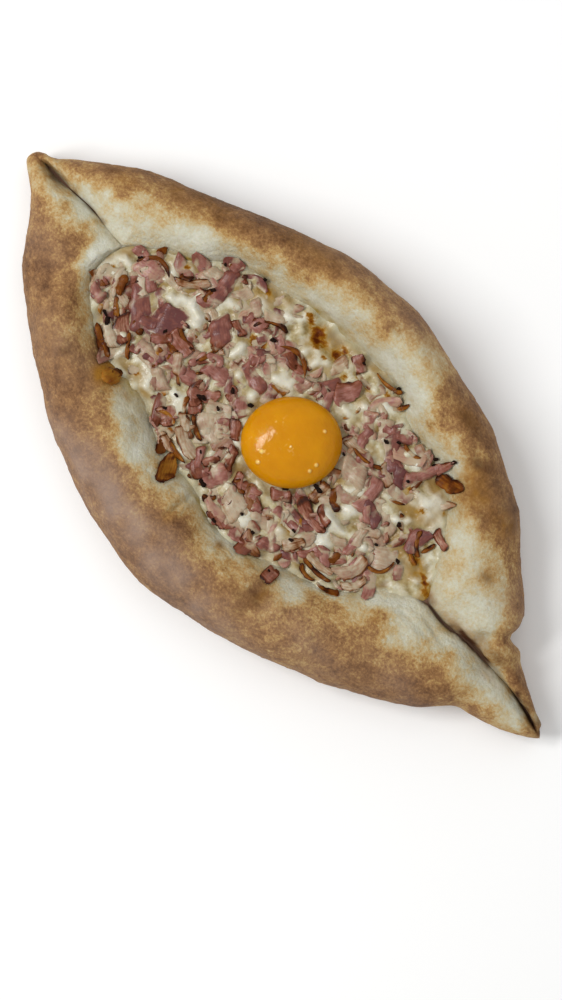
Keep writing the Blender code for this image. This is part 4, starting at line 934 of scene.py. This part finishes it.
# Cured cooked ham: wet pink muscle with a fibre along the slice, edges dried brown in the oven.
def curedHam(name, stops, crispStops, roughness, gloss):
    values = {"Roughness": roughness, "Specular IOR Level": gloss, "Coat Weight": gloss,
              "Coat Roughness": 0.15, "Subsurface Weight": 0.15, "Subsurface Radius": (1.0, 0.35, 0.25),
              "Subsurface Scale": 0.002}
    material, tree, shader, (tone, crisp, film) = newMaterial(name, values, ("tone", "crisp", "film"))
    grain = addNode(tree, "Attribute", {"attribute_name": "grain"}, output="Vector")
    # muscle fibre: 0.7 mm apart across the slice, five times longer along it; blotches of 3 mm
    stretched = addNode(tree, "Mapping", {"Scale": (0.28, 1.4, 1.0)}, {"Vector": grain})
    muscle = {"Scale": 1.0, "Detail": 4.0, "Roughness": 0.6}
    fibre = addNode(tree, "TexNoise", muscle, {"Vector": stretched})
    blotch = addNode(tree, "TexNoise", {"Scale": 0.35, "Detail": 2.0}, {"Vector": grain})
    spread, wide = (
        addNode(tree, "Math", {"operation": "MULTIPLY_ADD", 1: factor, 2: -factor / 2}, {0: noise})
        for noise, factor in ((fibre, 0.9), (blotch, 1.3))
    )
    both = addNode(tree, "Math", {"operation": "ADD"}, {0: spread, 1: wide})
    patchy, level, ragged = (
        addNode(tree, "Math", {"operation": "ADD", "use_clamp": True}, {0: mask, 1: noise})
        for mask, noise in ((film, wide), (tone, both), (crisp, spread))
    )
    meat, share, brown, covered = (
        addNode(tree, "ValToRGB", {"stops": ramp}, {"Fac": source})
        for ramp, source in (
            (stops, level), ([(0.2, 0.0), (0.6, 1.0)], ragged), (crispStops, ragged),
            ([(0.25, 0.0), (0.75, 0.85)], patchy),
        )
    )
    dried = addNode(tree, "Mix", {"data_type": "RGBA"}, {0: share, 6: meat, 7: brown}, 2)
    colour = addNode(tree, "Mix", {"data_type": "RGBA", 7: linear("#b3a286")}, {0: covered, 6: dried}, 2)
    dress(tree, shader, colour, fibre, 0.35, 0.5 * mm)
    return material


yolkShape = {
    "x": 0.5, "y": 2.0, "z": 25.5,  # its widest level
    "long": 38.2, "short": 34.6, "turn": 49.0, "top": 10.0, "under": 6.5, "fullness": 2.15,
    # bubbles: small caps in the skin, paled as froth and as painted highlights; froth: grains of paler
    # yolk, partly painted glints where the highlight breaks up
    "bubbles": [
        (13, 3.4, 0.9), (13.1, 0.1, 0.8), (5.6, 14, 0.8), (1.6, 0.7, 0.6), (-2.1, -12.3, 1.0),
        (-4.3, -8.8, 0.9),
    ],
    "frothAndGlints": [(-8, -3, 2.0, 5.5, 1.4), (-6, -8, 3.5, 2.0, 1.2), (2, 1, 3, 4, 0.3)],
}

# Loose ones on the rim. The rinds have a level too.
strayHam = [
    (32.4, -36.4, 5.2, 5.6, 8, 0.1, 0.2, 0.55, 0.9), (64.6, 20.2, 8.2, 3.0, -13, 0.1, 0.3, 0.3, 0.9),
    (44.3, 37.6, 11.0, 3.3, 70, 0.1, 0.5, 0.4, 0.7),
]
strayRinds = [
    (50.8, 36.3, 10.4, 5.0, 14, 0.1, 0.3, 0.45, 1.0, 1.0),
    (-22.8, -38.9, 12, 5.6, -54, 0.0, 0.4, 0.15, 0.95, 1.2),
    (64.2, 14.8, 6, 1.5, 80, 0.1, 0.2, 0.5, 1.0, 0.8),
    (-62.2, -32.6, 6.6, 6.0, 78, 0.0, -0.9, 0.16, 0.5, 0.0),
    (-61.8, -30.0, 3.8, 2.8, 8, 0.1, -0.4, 0.85, 0.9, 0.5),
]

# half of the bits are pink, three in ten fatty and the rest rind; two thirds of the shreds pink
bits, shreds = (scatteredStrips(stripSettings[key]) for key in ("bits", "shreds"))
first, second = int(0.5 * len(bits)), int(0.8 * len(bits))
half = int(0.66 * len(shreds))
pinkHam = curedHam("curedHam", [(0.0, "#a9866e"), (0.3, "#97665a"), (0.6, "#7e4a3d"), (1.0, "#613532")],
                   [(0.2, "#8a4c16"), (0.55, "#642a06"), (0.95, "#301002")], 0.36, 0.22)
paleHam = curedHam("hamFat", [(0.0, "#b5a78f"), (0.35, "#a38b72"), (0.65, "#94705c"), (1.0, "#825748")],
                   [(0.2, "#966620"), (0.55, "#703c08"), (0.95, "#3a1803")], 0.34, 0.2)
rind = curedHam("crispRind", [(0.0, "#9c6a22"), (0.4, "#7c4412"), (0.7, "#5a2706"), (1.0, "#341203")],
                [(0.2, "#8a5614"), (0.55, "#623006"), (0.95, "#2c0f02")], 0.42, 0.08)
makeStrips("hamSlices", mainStrips(hamStrips, 61), 1.1, 41, pinkHam, grid="listed")
makeStrips("fattySlices", mainStrips(paleStrips, 62), 1.0, 42, paleHam, grid="listed")
makeStrips("hamShreds", shreds[:half], 1.0, 47, pinkHam)
makeStrips("fattyShreds", shreds[half:], 1.0, 48, paleHam)
makeStrips("crispRinds", mainStrips(rindStrips, 63), 0.8, 43, rind, grid="listed")
makeStrips("hamBits", bits[:first], 1.0, 51, pinkHam)
makeStrips("fattyBits", bits[first:second], 1.0, 52, paleHam)
makeStrips("rindBits", bits[second:], 0.8, 53, rind)
onRim = {"node": "dough_boat", "slot": "baked_dough", "grid": "listed"}
makeStrips("strayHam", mainStrips(strayHam, 64), 1.2, 8685, pinkHam, **onRim)
makeStrips("strayRinds", np.array(strayRinds, float), 1.0, 1238, rind, **onRim, square=6)
print("ham done")

# Blackened crumbs: x, y, length, width, turn.
charBits = [
    (-79, -20.5, 4.5, 2.2, -50), (-82, -19, 3.5, 1.3, -20), (-62, 17, 2.6, 1.8, 60), (-66, 27, 1.6, 1.4, 0),
    (-89, 4.6, 2.4, 1.4, 60), (-52, 34.5, 1.8, 1.6, 0), (-33, 22, 2.6, 2.0, 20), (-28.5, -2, 3.0, 1.8, -50),
    (-20, -0.4, 2.6, 2.0, 20), (-34.5, -12.4, 4.4, 2.2, 35), (-41, -19, 2.2, 1.2, 0),
    (-10, -33, 4.4, 2.4, -8), (20, -1.8, 5.0, 2.2, -8), (16.5, 14, 1.6, 1.3, 0), (23.5, 29, 2.2, 2.0, 40),
    (40.2, 25.5, 1.8, 1.5, 0), (12, -11, 3.0, 1.8, 40), (16.3, -31, 1.8, 1.5, 0), (8.5, -29.5, 1.6, 1.3, 0),
    (60, 3, 2.4, 1.7, 0), (50, 12.5, 2.4, 1.8, -50), (28, -22, 2.4, 1.5, 20), (3.5, -39, 2.6, 1.4, 0),
    (-19, -26, 2.0, 1.1, -40), (-62, -6.5, 2.4, 1.8, 70), (31, -35.5, 1.4, 1.0, 0),
    (27, 32.5, 2.2, 1.4, 20), (-40.5, -25.5, 2.2, 1.4, 30), (26, -19, 2.0, 1.1, 0),
    (-27, -10.5, 2.4, 1.3, -20), (50, 1, 1.6, 1.2, 0), (-4, 42, 1.8, 1.2, 0), (11.5, 45.5, 1.8, 1.4, 70),
    (42, 37, 1.8, 1.2, 60), (40.6, 38.6, 2.4, 1.6, 60), (45.6, 42.4, 2.6, 1.7, 75),
]


# Burnt ham and cheese: dry black carbon.
def burntCrumb():
    values = {"Roughness": 0.8, "Specular IOR Level": 0.1}
    # grains of 0.7 mm
    material, tree, shader, (noise,) = newMaterial("burntCrumb", values, (), [(1400.0, 3.0)])
    soot = addNode(tree, "ValToRGB", {"stops": [(0.35, "#0a0605"), (0.7, "#2c170c")]}, {"Fac": noise})
    dress(tree, shader, soot, noise, 0.6, 0.3 * mm, wet=False)
    return material


crumbs = np.array(charBits, float) * (1, 1, 0.8, 0.75, 1)
rest = np.tile([0.0, 0.2, 1.0, 1.0, 2.0], (len(crumbs), 1))  # bend, curl, tone, toast and level
makeStrips("burntCrumbs", np.hstack([crumbs, rest]), 1.3, 44, burntCrumb())
print("crumbs done")


# the yolk: rings of an ellipse in plan, with height (1 - r^p)^(1/p) above and below, and small
# bubbles as caps of a sphere; paler froth on the bubbles and in grains, partly painted highlight
def yolkSurface():
    rows, around = 180, 240
    slope = np.linspace(-math.pi / 2, math.pi / 2, rows)[:, None]
    circle = np.linspace(0, 2 * math.pi, around, endpoint=False)[None, :]
    power = 2 / yolkShape["fullness"]
    reach = np.clip(np.cos(slope), 0, 1) ** power
    rise = np.sign(np.sin(slope)) * np.abs(np.sin(slope)) ** power
    long, short = (yolkShape[key] / 2 * reach * wave
                   for key, wave in (("long", np.cos(circle)), ("short", np.sin(circle))))
    angle = math.radians(yolkShape["turn"])
    x = yolkShape["x"] + long * math.cos(angle) - short * math.sin(angle)
    y = yolkShape["y"] + long * math.sin(angle) + short * math.cos(angle)
    z = yolkShape["z"] + np.where(rise > 0, yolkShape["top"], yolkShape["under"]) * rise + 0 * circle
    points = np.stack([x, y, z], axis=-1)
    points[..., 2] += 0.12 * softNoise(points, 8, 51) * reach
    foam = np.zeros_like(x)
    for cx, cy, radius in yolkShape["bubbles"]:
        cap = np.clip(radius**2 - (x - cx) ** 2 - (y - cy) ** 2, 0, None) * (rise > 0)
        points[..., 2] += 0.7 * np.sqrt(cap)
        foam = np.maximum(foam, cap / radius**2)
    grains = smoothStep(0.35, 0.75, softNoise(points, 0.9, 52)) * spots(x, y, yolkShape["frothAndGlints"])
    return points, {"foam": np.clip(foam + grains, 0, 1)}


# Raw yolk: a thin shining skin over thick orange liquid that light goes into.
def rawYolk():
    values = {"Roughness": 0.22, "IOR": 1.42, "Specular IOR Level": 0.05, "Coat Weight": 0.4,
              "Coat Roughness": 0.03, "Subsurface Weight": 0.35, "Subsurface Radius": (1.0, 0.45, 0.05),
              "Subsurface Scale": 0.005}
    noises = ((90.0, 3.0), (420.0, 3.0))  # clouds of 11 mm in the liquid, a skin that ripples at 2.4 mm
    material, tree, shader, (foam, clouds, ripples) = newMaterial("rawYolk", values, ["foam"], noises)
    colour = addNode(tree, "ValToRGB", {"stops": [(0.3, "#c27e00"), (0.7, "#d08d00")]}, {"Fac": clouds})
    # paler froth, partly painted highlights and glints on the skin
    frothAndGlintColour = addNode(tree, "Mix", {"data_type": "RGBA", 7: linear("#ecc878")}, {0: foam, 6: colour}, 2)
    dress(tree, shader, frothAndGlintColour, ripples, 0.35, 0.7 * mm)
    return material


yolkPoints, yolkPaint = yolkSurface()
yolk = makeObject("eggYolk", yolkPoints, gridFaces(*yolkPoints.shape[:2], wrap=True), rawYolk(), yolkPaint)
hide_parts("egg_yolk")
print("yolk done")

stageSet = {
    "floorHalf": 3.0,  # metres
    "floorColour": "#fcfcfb",
    "lens": 85.0,
    "sensor": 36.0,
    "aim": (14.2, -15.0, 11.0),  # what the photo's centre looks at, in mm
    "longSide": 380.7,  # mm of the bread's plane that the photo's height shows
    "right": (0.6543, 0.7562),  # the photo's right and up, in plan
    "up": (-0.7562, 0.6543),
}


# turns and places an object by its own right, up and back, and its place in metres
def placeBy(obj, right, up, back, place):
    axes = np.eye(4)
    axes[:3] = np.column_stack([right, up, back, place])
    obj.matrix_world = Matrix(axes.tolist())


# a pale floor, and a camera straight above whose frame is the photo's
def buildStage():
    size = stageSet["floorHalf"]
    mesh = bpy.data.meshes.new("paleFloor")
    corners = [(-size, -size, 0), (size, -size, 0), (size, size, 0), (-size, size, 0)]
    mesh.from_pydata(corners, [], [(0, 1, 2, 3)])
    floor = bpy.data.objects.new("paleFloor", mesh)
    bpy.context.scene.collection.objects.link(floor)
    paper = {"Base Color": linear(stageSet["floorColour"]), "Roughness": 0.9}
    mesh.materials.append(newMaterial("whitePaper", paper)[0])
    right, up = (np.array([*stageSet[key], 0.0]) for key in ("right", "up"))
    camera = bpy.data.objects.new("camera", bpy.data.cameras.new("camera"))
    bpy.context.scene.collection.objects.link(camera)
    camera.data.lens, camera.data.sensor_width = stageSet["lens"], stageSet["sensor"]
    distance = stageSet["longSide"] * stageSet["lens"] / stageSet["sensor"]
    placeBy(camera, right, up, (0, 0, 1), (np.array(stageSet["aim"]) + (0, tipLineY, distance)) * mm)
    bpy.context.scene.camera = camera
    return right, up


lights = {
    # place along the photo's right and up and in height, in metres; size; the long side's direction
    "windowLight": {
        "place": (-0.85, 0.1, 1.15), "size": (0.22, 1.0), "along": (0.756, 0.654), "power": 13.0,
    },
    "roomLight": {
        "place": (0.2, 0.4, 1.7), "size": (1.2, 1.2), "along": (0.0, 1.0), "power": 3.5,
        "hidden": True,  # leaves no highlight
    },
}


# a rectangle of light that faces the origin, with one side along a given direction
def addLight(name, right, up, values):
    lamp = bpy.data.lights.new(name, "AREA")
    lamp.shape = "RECTANGLE"
    lamp.size, lamp.size_y = values["size"]
    lamp.energy = values["power"]
    obj = bpy.data.objects.new(name, lamp)
    bpy.context.scene.collection.objects.link(obj)
    spot = np.column_stack([right, up, (0, 0, 1)]) @ values["place"]
    back = spot / np.linalg.norm(spot)
    along = right * values["along"][0] + up * values["along"][1]
    along = along - back * (along @ back)
    along /= np.linalg.norm(along)
    placeBy(obj, np.cross(along, back), along, back, spot)
    obj.visible_glossy = not values.get("hidden", False)


photoRight, photoUp = buildStage()
for name, values in lights.items():
    addLight(name, photoRight, photoUp, values)
world = bpy.data.worlds.new("softRoom")
world.use_nodes = True
world.node_tree.nodes["Background"].inputs["Color"].default_value = linear("#ffffff")
world.node_tree.nodes["Background"].inputs["Strength"].default_value = 0.52
bpy.context.scene.world = world
bpy.context.scene.view_settings.view_transform = "Standard"
print("stage done")
